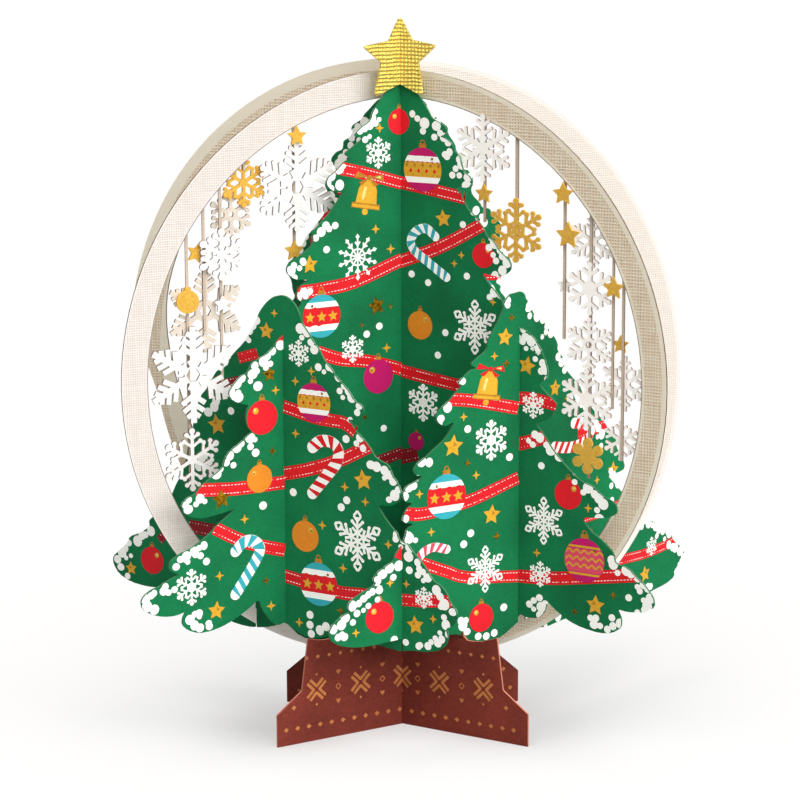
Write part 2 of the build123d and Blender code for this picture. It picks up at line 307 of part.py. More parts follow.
# frame sheet A: front left half, over the top and on into the right rear half
fl = plate(ring_points(lambda a: R_FRONT_OUT, lambda a: R_FRONT_IN, 90, -90),
           upright(APEX, D_FL), T_RING)
fl_tail = plate(ring_points(lambda a: R_FRONT_OUT, lambda a: R_FRONT_IN, -97, -89.5, 6),
                upright(APEX, D_FL), T_RING)
# the flat piece past the top, up to the slanting fold
lean_n = Vector(LEAN_X, -1, LEAN_Z).normalized()
centre = Vector(0, RING_Y, RING_Z)
lean_p = Vector(0, RING_Y, LEAN_Z0)
dist = (lean_p - centre).dot(lean_n)
foot_pt = centre + lean_n * dist
lean_x = Vector(1, LEAN_X, 0).normalized()
lean_plane = Plane(origin=foot_pt, x_dir=lean_x, z_dir=lean_n)


def sphere_r(r):
    return math.sqrt(r * r - dist * dist)


def to_lean(x, z):
    """A point of the leaning plane, given by x and z, in its own axes."""
    y = RING_Y + LEAN_X * x + LEAN_Z * (z - LEAN_Z0)
    v = lean_plane.to_local_coords(Vector(x, y, z))
    return (v.X, v.Y)


def lean_arc(r3, x_at, n=50):
    """Points of the leaning circle from the fold line down to the end."""
    rr = sphere_r(r3)
    pts = []
    up = lean_plane.to_local_coords(Vector(0, RING_Y + LEAN_Z * 10, LEAN_Z0 + 10)) \
        - lean_plane.to_local_coords(Vector(0, RING_Y, LEAN_Z0))
    a_up = math.atan2(up.Y, up.X)
    started = False
    for i in range(1440):
        a = a_up + math.radians(20 - i * 0.125)
        p = lean_plane.from_local_coords(Vector(rr * math.cos(a), rr * math.sin(a), 0))
        fold = p.X - (LEAN_Z / (LEAN_X - 0.46)) * (LEAN_Z0 - p.Z)
        if fold < 0 and not started:
            continue
        started = True
        if p.Z < x_at:
            break
        pts.append((rr * math.cos(a), rr * math.sin(a)))
    stepn = max(1, len(pts) // n)
    keep = pts[::stepn]
    if keep[-1] != pts[-1]:
        keep.append(pts[-1])
    return keep


END_OUT, END_IN = 30.6, 37.6     # heights where the leaning half ends
arc_o = lean_arc(R_RIGHT_OUT, END_OUT)
arc_i = lean_arc(R_RIGHT_IN, END_IN)
br = plate(arc_o + arc_i[::-1], lean_plane, T_RING)
# flat bridge between the top and the fold, in the plane of the front left half
u_dir = (-D_FL[0], -D_FL[1])


def bridge_pts():
    pts_o, pts_i = [], []
    for i in range(41):
        a = math.radians(90 - i * 0.75)
        for r, dst in ((R_RIGHT_OUT, pts_o), (R_RIGHT_IN, pts_i)):
            u, z = r * math.cos(a), RING_Z + r * math.sin(a)
            x = u * u_dir[0]
            if x <= (LEAN_Z / (LEAN_X - 0.46)) * (LEAN_Z0 - z) + 0.05:
                dst.append((u, z))
    return pts_o + pts_i[::-1]


br_top = plate([(-1.0, RING_Z + R_FRONT_IN)] + [(-1.0, RING_Z + R_FRONT_OUT)] + bridge_pts(),
               upright(APEX, u_dir), T_RING)
ring_a = fl + fl_tail + br_top + br

# frame sheet B: front right half and rear left half, bent at the crossing
fr = plate(ring_points(lambda a: R_FRONT_OUT, lambda a: R_FRONT_IN, 90, -90),
           upright(APEX, D_FR), T_RING)
bl = plate(ring_points(lambda a: step(a, R_LEFT_OUT, R_LEFT_OUT_LOW, 12, -13),
                       lambda a: step(a, R_LEFT_IN, R_LEFT_IN_LOW, 16, -20), 90, -90),
           upright(APEX, D_BL), T_RING)
pin = Cylinder(T_RING / 2, 7.4, align=(Align.CENTER, Align.CENTER, Align.MIN))
ring_b = fr + bl + Pos(0, RING_Y, RING_Z + R_FRONT_IN + 0.1) * pin \
    + Pos(0, RING_Y, RING_Z - R_FRONT_OUT + 0.1) * pin

# half laps where the two frame sheets cross, top and bottom
top_mid = RING_Z + (R_FRONT_IN + R_FRONT_OUT) / 2
bot_mid = RING_Z - (R_FRONT_IN + R_FRONT_OUT) / 2
ring_a = ring_a - slot(APEX, D_FR, RING_Z + 70, top_mid, T_RING, 4.0) \
    - slot(APEX, D_BL, RING_Z + 70, top_mid, T_RING, 4.0)
ring_b = ring_b - slot(APEX, D_FL, top_mid, RING_Z + 90, T_RING, 4.4)
ring_a = ring_a - slot(APEX, D_FR, bot_mid, RING_Z - 66, T_RING, 4.4) \
    - slot(APEX, D_BL, bot_mid, RING_Z - 66, T_RING, 4.4)
ring_b = ring_b - slot(APEX, D_FL, RING_Z - 90, bot_mid, T_RING, 4.4)

# ----------------------------------------------------------------- the tree
rear_a = plate(REAR_A, upright(X_LEFT, D_A), T_TREE)
rear_b = plate(REAR_B, upright(X_RIGHT, D_B), T_TREE)
front_b = plate(FRONT_B, upright(X_FRONT, D_B), T_TREE)
front_a = plate(FRONT_A, upright(X_FRONT, D_A), T_TREE)
bent = plate(FRONT_A_BENT, upright(X_RIGHT, heading(AZ_BENT)), T_TREE)
edge_r = Cylinder(T_TREE / 2, 86, align=(Align.CENTER, Align.CENTER, Align.MIN))
front_a = front_a + bent + Pos(X_RIGHT[0], X_RIGHT[1], 35.2) * edge_r

# crossings of the tree sheets: one slot open at the top, one at the bottom
rear_a = rear_a - slot(X_LEFT, D_B, MID_LEFT, 130, T_TREE)
front_b = front_b - slot(X_LEFT, D_A, 0, MID_LEFT, T_TREE)
rear_b = rear_b - slot(X_RIGHT, D_A, MID_RIGHT, 130, T_TREE) \
    - slot(X_RIGHT, heading(AZ_BENT), MID_RIGHT, 130, T_TREE)
front_a = front_a - slot(X_RIGHT, D_B, 0, MID_RIGHT, T_TREE, 3.4)
rear_b = rear_b - slot(X_BACK, D_A, MID_BACK, 190, T_TREE)
rear_a = rear_a - slot(X_BACK, D_B, 0, MID_BACK, T_TREE)
front_a = front_a - slot(X_FRONT, D_B, MID_FRONT, 70, T_TREE)
front_b = front_b - slot(X_FRONT, D_A, 0, MID_FRONT, T_TREE)

# the frame passes the tree flaps: slot from below in the flap, notch in the ring
def cross(o1, d1, o2, d2):
    """Where two upright sheets meet, seen from above."""
    det = d1[0] * -d2[1] + d2[0] * d1[1]
    rx, ry = o2[0] - o1[0], o2[1] - o1[1]
    t = (rx * -d2[1] + d2[0] * ry) / det
    return along(o1, d1, t), t


at1, u1 = cross(APEX, D_FL, X_LEFT, D_B)
zi = RING_Z - math.sqrt(R_FRONT_IN ** 2 - u1 ** 2)
zo = RING_Z - math.sqrt(R_FRONT_OUT ** 2 - u1 ** 2)
front_b = front_b - slot(at1, D_FL, 0, (zi + zo) / 2, T_RING, 3.6)
ring_a = ring_a - slot(at1, D_B, (zi + zo) / 2, zi + 4, T_TREE, 3.6)
at2, u2 = cross(APEX, D_FR, X_RIGHT, heading(AZ_BENT))
zi2 = RING_Z - math.sqrt(R_FRONT_IN ** 2 - u2 ** 2)
zo2 = RING_Z - math.sqrt(R_FRONT_OUT ** 2 - u2 ** 2)
front_a = front_a - slot(at2, D_FR, 0, (zi2 + zo2) / 2, T_RING, 3.6)
ring_b = ring_b - slot(at2, heading(AZ_BENT), (zi2 + zo2) / 2, zi2 + 4, T_TREE, 3.6)
# the leaning half ends in a slot of the bent flap
lean_slab = lean_plane * Box(400, 400, T_RING + 2 * CLEAR)
flap_zone = Pos(47.5, 14, 29.6) * Box(16, 30, 16, align=(Align.CENTER, Align.CENTER, Align.MIN))
front_a = front_a - (lean_slab & flap_zone)

# ----------------------------------------------------------------- the foot
# the tree sheets' lower lobes hang in front of a shallow dip of each leg
DIP_LEFT = [(28.0, 28.65), (25.8, 28.3), (23.5, 28.35), (20.2, 28.6)]
DIP_RIGHT = [(28.4, 28.5), (25.9, 27.7), (23.3, 27.3), (21.3, 27.35), (20.1, 28.4)]


def foot_outline(dip):
    f, r = FOOT_FRONT, FOOT_REAR
    return [(-r, 0), (f, 0), (f, FOOT_TOE), (f - 7.9, FOOT_SHOULDER),
            (f - 9.9, FOOT_H)] + dip + [(19.95, FOOT_H), (-r + 8.5, FOOT_H),
            (-r + 6.5, FOOT_SHOULDER), (-r, FOOT_TOE)]


foot_left = plate(foot_outline(DIP_LEFT), upright((0, 0), heading(-FOLD_AZ)), T_FOOT)
foot_right = plate(foot_outline(DIP_RIGHT), upright((0, 0), heading(FOLD_AZ)), T_FOOT)
foot_left = foot_left - slot((0, 0), heading(FOLD_AZ), -1, FOOT_H / 2, T_FOOT)
foot_right = foot_right - slot((0, 0), heading(-FOLD_AZ), FOOT_H / 2, FOOT_H + 1, T_FOOT)
pairs = []
for sgn, d_leg, o_tree, d_tree, mid in (
        (1, heading(-FOLD_AZ), X_FRONT, D_B, MID_FOOT_FRONT),
        (1, heading(FOLD_AZ), X_FRONT, D_A, MID_FOOT_FRONT),
        (-1, heading(-FOLD_AZ), X_BACK, D_B, MID_FOOT_REAR),
        (-1, heading(FOLD_AZ), X_BACK, D_A, MID_FOOT_REAR)):
    at, _ = cross((0, 0), d_leg, o_tree, d_tree)
    pairs.append((at, d_leg, d_tree, mid))
foot_left = foot_left - slot(pairs[0][0], D_B, MID_FOOT_FRONT, FOOT_H + 1, T_TREE) \
    - slot(pairs[2][0], D_B, MID_FOOT_REAR, FOOT_H + 1, T_TREE)
foot_right = foot_right - slot(pairs[1][0], D_A, MID_FOOT_FRONT, FOOT_H + 1, T_TREE) \
    - slot(pairs[3][0], D_A, MID_FOOT_REAR, FOOT_H + 1, T_TREE)
front_b = front_b - slot(pairs[0][0], heading(-FOLD_AZ), 0, MID_FOOT_FRONT, T_FOOT)
front_a = front_a - slot(pairs[1][0], heading(FOLD_AZ), 0, MID_FOOT_FRONT, T_FOOT)
rear_b = rear_b - slot(pairs[2][0], heading(-FOLD_AZ), 0, MID_FOOT_REAR, T_FOOT)
rear_a = rear_a - slot(pairs[3][0], heading(FOLD_AZ), 0, MID_FOOT_REAR, T_FOOT)

# the frame also drops into slots of the rear legs
for part_of in ("a", "b"):
    d_ring = D_FL if part_of == "a" else D_FR
    d_leg = heading(FOLD_AZ) if part_of == "a" else heading(-FOLD_AZ)
    at, u = cross(APEX, d_ring, (0, 0), d_leg)
    lo = RING_Z - math.sqrt(R_FRONT_OUT ** 2 - u ** 2)
    hi = RING_Z - math.sqrt(R_FRONT_IN ** 2 - u ** 2)
    mid = (lo + hi) / 2
    if part_of == "a":
        foot_right = foot_right - slot(at, d_ring, mid, FOOT_H + 1, T_RING, 3.4)
        ring_a = ring_a - slot(at, d_leg, lo - 4, mid, T_FOOT, 3.4)
    else:
        foot_left = foot_left - slot(at, d_ring, mid, FOOT_H + 1, T_RING, 3.4)
        ring_b = ring_b - slot(at, d_leg, lo - 4, mid, T_FOOT, 3.4)

# ----------------------------------------------------------------- the star
STAR_Y = LAT_Y - (T_TREE / 2 + T_STAR / 2 + 0.03) / math.sin(math.radians(FOLD_AZ))
STAR_L = [
    (0.1, 195.7), (3.82, 189.75), (12.24, 188.53), (6.31, 183.92), (8.63, 174.58), (0.17, 177.88)
]
STAR_R = [
    (-0.1, 195.7), (3.84, 190), (11.72, 188.77), (5.89, 183.87), (7.29, 174.67), (-0.17, 177.87)
]


def blunt(points, tips, cut=0.55):
    """Round off the given outer corners with three short edges."""
    out = []
    for i, p in enumerate(points):
        if i not in tips:
            out.append(p)
            continue
        a, b = Vector(*points[i - 1]), Vector(*points[(i + 1) % len(points)])
        c = Vector(*p)
        pa, pb = c + (a - c).normalized() * cut * 2.2, c + (b - c).normalized() * cut * 2.2
        qa, qb = c + (a - c).normalized() * cut * 1.25, c + (b - c).normalized() * cut * 1.25
        mid_a, mid_b = qa * 0.72 + qb * 0.28, qa * 0.28 + qb * 0.72
        out += [(v.X, v.Y) for v in (pa, mid_a, mid_b, pb)]
    return out


def top_blunt(points, sg):
    """The tip on the fold is a little rounded too."""
    return [points[0], (points[0][0] + sg * 0.50, points[0][1] - 0.12),
            (points[0][0] + sg * 0.92, points[0][1] - 0.75)] + list(points[1:])


STAR_L = top_blunt(blunt(STAR_L, (2, 4)), 1)
STAR_R = top_blunt(blunt(STAR_R, (2, 4)), 1)
star = plate(STAR_L, upright((0, STAR_Y), heading(-FOLD_AZ)), T_STAR) \
    + plate(STAR_R, upright((0, STAR_Y), heading(FOLD_AZ)), T_STAR)

for shape, name in ((front_a, "tree_front_a"), (front_b, "tree_front_b"),
                    (rear_a, "tree_rear_a"), (rear_b, "tree_rear_b"),
                    (ring_a, "frame_ring_a"), (ring_b, "frame_ring_b"),
                    (foot_left, "foot_left"), (foot_right, "foot_right"),
                    (star, "top_star")):
    finish(shape, name)


# --------------------------------------------------- hanging strips and shapes
def flake(radius, width, branches, tip="round", hub=0.34, hole=0.16, slots=0.0, ring=0.0):
    """Six-armed die-cut flake about the origin, as one flat face."""
    bits = []
    twig = width * 0.8
    for k in range(6):
        turn = Rot(0, 0, 90 - 60 * k)
        arm = radius * (0.93 if tip != "flat" else 1.0)
        bits.append(turn * Pos(arm / 2, 0) * Rectangle(arm, width))
        for pos, length in branches:
            ln = length * radius
            for sg in (1, -1):
                br_bit = Pos(pos * radius, 0) * Rot(0, 0, sg * 55)
                bits.append(turn * br_bit * Pos(ln / 2, 0) * Rectangle(ln, twig))
                if tip == "ball":
                    bits.append(turn * br_bit * Pos(ln, 0) * Circle(twig * 0.80))
                elif tip == "round":
                    bits.append(turn * br_bit * Pos(ln, 0) * Circle(twig * 0.56))
        if tip == "ball":
            bits.append(turn * Pos(radius - width * 0.85, 0) * Circle(width * 0.85))
        elif tip == "round":
            bits.append(turn * Pos(radius - width * 0.70, 0) * Circle(width * 0.70))
        if ring:
            # straight bar from this arm to the next one
            half = ring * radius * math.cos(math.radians(30))
            bits.append(Rot(0, 0, 60 - 60 * k) * Pos(half, 0) * Rectangle(twig, ring * radius))
    if hub:
        bits.append(Rot(0, 0, 30) * RegularPolygon(hub * radius, 6))
    face = bits[0] + bits[1:]
    if hole:
        face = face - RegularPolygon(hole * radius, 6)
    if slots:
        for k in range(6):
            face = face - Rot(0, 0, 60 - 60 * k) * Pos(slots * radius, 0) \
                * SlotOverall(0.17 * radius, 0.060 * radius)
    return face


def star5(cx, cz, radius, inner=0.5, spin=0.0):
    out = []
    for i in range(10):
        r = radius if i % 2 == 0 else radius * inner
        a = math.radians(90 + spin - 36 * i)
        out.append((cx + r * math.cos(a), cz + r * math.sin(a)))
    return out


def disc(cx, cz, radius, cap=True):
    out = []
    for i in range(37):
        a = math.radians(75 - 330 * i / 36) if cap else math.radians(90 - 360 * i / 37)
        out.append((cx + radius * math.cos(a), cz + radius * math.sin(a)))
    if cap:
        out += [(cx - radius * 0.26, cz + radius * 1.25), (cx + radius * 0.26, cz + radius * 1.25)]
    return out


GAP = 0.03
STRIP_OFF = -(T_RING / 2 + T_STRIP / 2 + GAP)
FRONT_OFF = STRIP_OFF + T_STRIP / 2 + T_DIE / 2 + GAP
REAR_OFF = STRIP_OFF - T_STRIP / 2 - T_DIE / 2 - GAP
OVER_OFF = T_RING / 2 + T_DIE / 2 + GAP
REAR2_OFF = REAR_OFF - T_DIE - GAP
TOP_OFF = OVER_OFF + T_DIE + GAP
LAID_OFF = FRONT_OFF + T_DIE + GAP      # laid on a front shape
# FRONT_OFF shares the ring's own depth, so front shapes stay inside its opening


def hang(side, level, points, thick, name, holes=()):
    """Left shapes hang in the plane of the front left half of the frame."""
    if side == "L":
        n_sign, d = -1.0, D_FL
    else:
        n_sign, d = 1.0, D_FR
    pl = upright(APEX, d, shift=n_sign * level)
    finish(plate(points, pl, thick, holes), name)


def hang_face(side, level, u, z, face, name):
    """Hang a flat face with its middle at (u, z) of the ring's plane."""
    n_sign, d = (-1.0, D_FL) if side == "L" else (1.0, D_FR)
    pl = upright(APEX, d, shift=n_sign * level)
    finish(pl * Pos(u, z, 0) * extrude(face, amount=T_DIE / 2, both=True), name)


def strip(side, u, z_low, width, name):
    """A narrow strip from the back of the ring's inner margin down to z_low."""
    z_in = RING_Z + math.sqrt(R_FRONT_IN ** 2 - u ** 2)
    top = z_in + 2.6
    w = width / 2
    hang(side, STRIP_OFF, [(u - w, z_low), (u + w, z_low), (u + w, top), (u - w, top)],
         T_STRIP, name)


STRIPS = (
    ("L", 32.2, 131.0, 0.80, "strip_left_1"), ("L", 54.1, 95.0, 0.80, "strip_left_2"),
    ("L", 59.0, 112.0, 0.80, "strip_left_3"), ("L", 64.0, 70.0, 0.80, "strip_left_4"),
    ("L", 46.8, 155.6, 0.70, "strip_left_5"),
    ("R", 26.85, 140.5, 0.80, "strip_right_1"), ("R", 37.0, 136.0, 1.00, "strip_right_2"),
    ("R", 51.9, 110.0, 0.80, "strip_right_3"), ("R", 60.0, 72.0, 0.90, "strip_right_4"),
    ("R", 66.9, 92.0, 0.70, "strip_right_5"), ("R", 70.0, 78.0, 0.80, "strip_right_6"),
)
for side, u, zl, w, name in STRIPS:
    strip(side, u, zl, w, name)

B2 = ((0.40, 0.32), (0.66, 0.23))
B1 = ((0.52, 0.33),)
B3 = ((0.42, 0.31), (0.60, 0.27), (0.78, 0.17))
# side, depth, kind, u, z, radius, arm width, branches, tip, hub, hole, slots,
# ring of bars, name
FLAKES = (
    ("L", OVER_OFF, 31.9, 150.4, 12.4, 1.25, B3, "round", 0.44, 0.16, 0.31, 0.0, "flake_left_1"),
    ("L", REAR_OFF, 46.8, 152.2, 6.9, 0.90, B2, "ball", 0.20, 0.0, 0.0, 0.0, "flake_left_gold"),
    ("L", FRONT_OFF, 54.1, 133.0, 7.2, 1.15, B1, "ball", 0.42, 0.0, 0.27, 0.0, "flake_left_2"),
    ("L", OVER_OFF, 63.2, 100.4, 13.4, 1.75, B3, "flat", 0.36, 0.15, 0.27, 0.0, "flake_left_3"),
    ("L", FRONT_OFF, 63.6, 76.6, 8.9, 1.00, B2, "ball", 0.18, 0.0, 0.0, 0.0, "flake_left_4"),
    ("L", REAR2_OFF, 50.4, 143.6, 6.6, 1.00, B1, "ball", 0.34, 0.12, 0.0, 0.0, "flake_left_5"),
    ("L", REAR_OFF, 58.6, 117.6, 11.6, 1.35, B3, "flat", 0.30, 0.14, 0.0, 0.0, "flake_left_6"),
    ("R", OVER_OFF, 27.0, 161.0, 9.4, 1.15, B2, "round", 0.40, 0.0, 0.27, 0.0, "flake_right_1"),
    ("R", FRONT_OFF, 37.0, 138.9, 8.9, 1.00, B2, "ball", 0.0, 0.0, 0.0, 0.28, "flake_right_gold"),
    ("R", FRONT_OFF, 60.1, 124.6, 7.3, 1.10, B1, "round", 0.34, 0.0, 0.0, 0.0, "flake_right_2"),
    ("R", FRONT_OFF, 60.0, 109.2, 7.6, 0.95, B2, "round", 0.30, 0.13, 0.0, 0.0, "flake_right_3"),
    ("R", LAID_OFF, 59.8, 94.2, 8.6, 1.15, B2, "round", 0.28, 0.0, 0.0, 0.0, "flake_right_4"),
    ("R", REAR_OFF, 60.2, 137.4, 7.4, 0.90, B2, "round", 0.22, 0.0, 0.0, 0.0, "flake_right_5"),
    ("R", REAR_OFF, 70.4, 99.2, 7.6, 1.00, B2, "flat", 0.24, 0.0, 0.0, 0.0, "flake_right_6"),
    ("R", REAR_OFF, 69.4, 83.4, 5.6, 0.90, B1, "round", 0.28, 0.0, 0.0, 0.0, "flake_right_7"),
)
for side, lev, u, z, r, w, br_, tip, hub, hole, slots, ring, name in FLAKES:
    hang_face(side, lev, u, z, flake(r, w, br_, tip, hub, hole, slots, ring), name)

hang("L", TOP_OFF, star5(32.0, 164.4, 2.9), T_DIE, "star_left_1")
hang("L", FRONT_OFF, star5(32.5, 132.7, 3.0), T_DIE, "star_left_2")
hang("L", REAR_OFF, star5(60.8, 133.6, 3.0, spin=18), T_DIE, "star_left_3")
hang("L", FRONT_OFF, star5(54.05, 119.3, 2.6), T_DIE, "star_left_4")
hang("L", FRONT_OFF, disc(64.1, 120.6, 3.2), T_DIE, "bauble_left")
hang("R", FRONT_OFF, star5(26.9, 148.4, 2.8), T_DIE, "star_right_1")
hang("R", OVER_OFF, star5(51.9, 149.9, 3.2), T_DIE, "star_right_2")
hang("R", FRONT_OFF, star5(53.2, 138.6, 3.8), T_DIE, "star_right_3")
hang("R", REAR_OFF, star5(51.7, 124.7, 2.3), T_DIE, "star_right_4")
hang("R", LAID_OFF, star5(67.6, 125.4, 3.2), T_DIE, "star_right_5")
hang("R", REAR_OFF, star5(68.9, 109.8, 2.6), T_DIE, "star_right_6")
hang_face("R", OVER_OFF, 60.2, 78.4, flake(5.0, 2.1, (), "round", 0.42, 0.0), "flower_right")
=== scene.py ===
import bpy
import bmesh
import math
import json
import random
from mathutils import Vector, Matrix


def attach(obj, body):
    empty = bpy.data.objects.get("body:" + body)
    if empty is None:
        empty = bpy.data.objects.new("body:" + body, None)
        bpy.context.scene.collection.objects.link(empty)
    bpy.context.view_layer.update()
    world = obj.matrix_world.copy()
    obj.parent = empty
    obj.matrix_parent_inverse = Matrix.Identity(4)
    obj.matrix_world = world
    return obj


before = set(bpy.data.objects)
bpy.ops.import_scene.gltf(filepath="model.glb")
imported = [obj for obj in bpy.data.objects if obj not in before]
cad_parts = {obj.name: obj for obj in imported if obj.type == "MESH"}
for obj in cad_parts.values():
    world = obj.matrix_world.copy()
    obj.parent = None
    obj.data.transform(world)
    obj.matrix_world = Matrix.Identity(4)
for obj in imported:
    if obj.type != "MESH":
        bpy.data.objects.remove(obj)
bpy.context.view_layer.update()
MM = 0.001

# ------------------------------------------------------------------ geometry
FA = math.radians(57.8)
LAT_Y = 20.439
LAT_X = LAT_Y * math.tan(FA)
LAT_S = LAT_X / math.sin(FA)
D_A = (math.sin(FA), math.cos(FA))
D_B = (-math.sin(FA), math.cos(FA))
D_BENT = (math.sin(math.radians(140)), -math.cos(math.radians(140)))
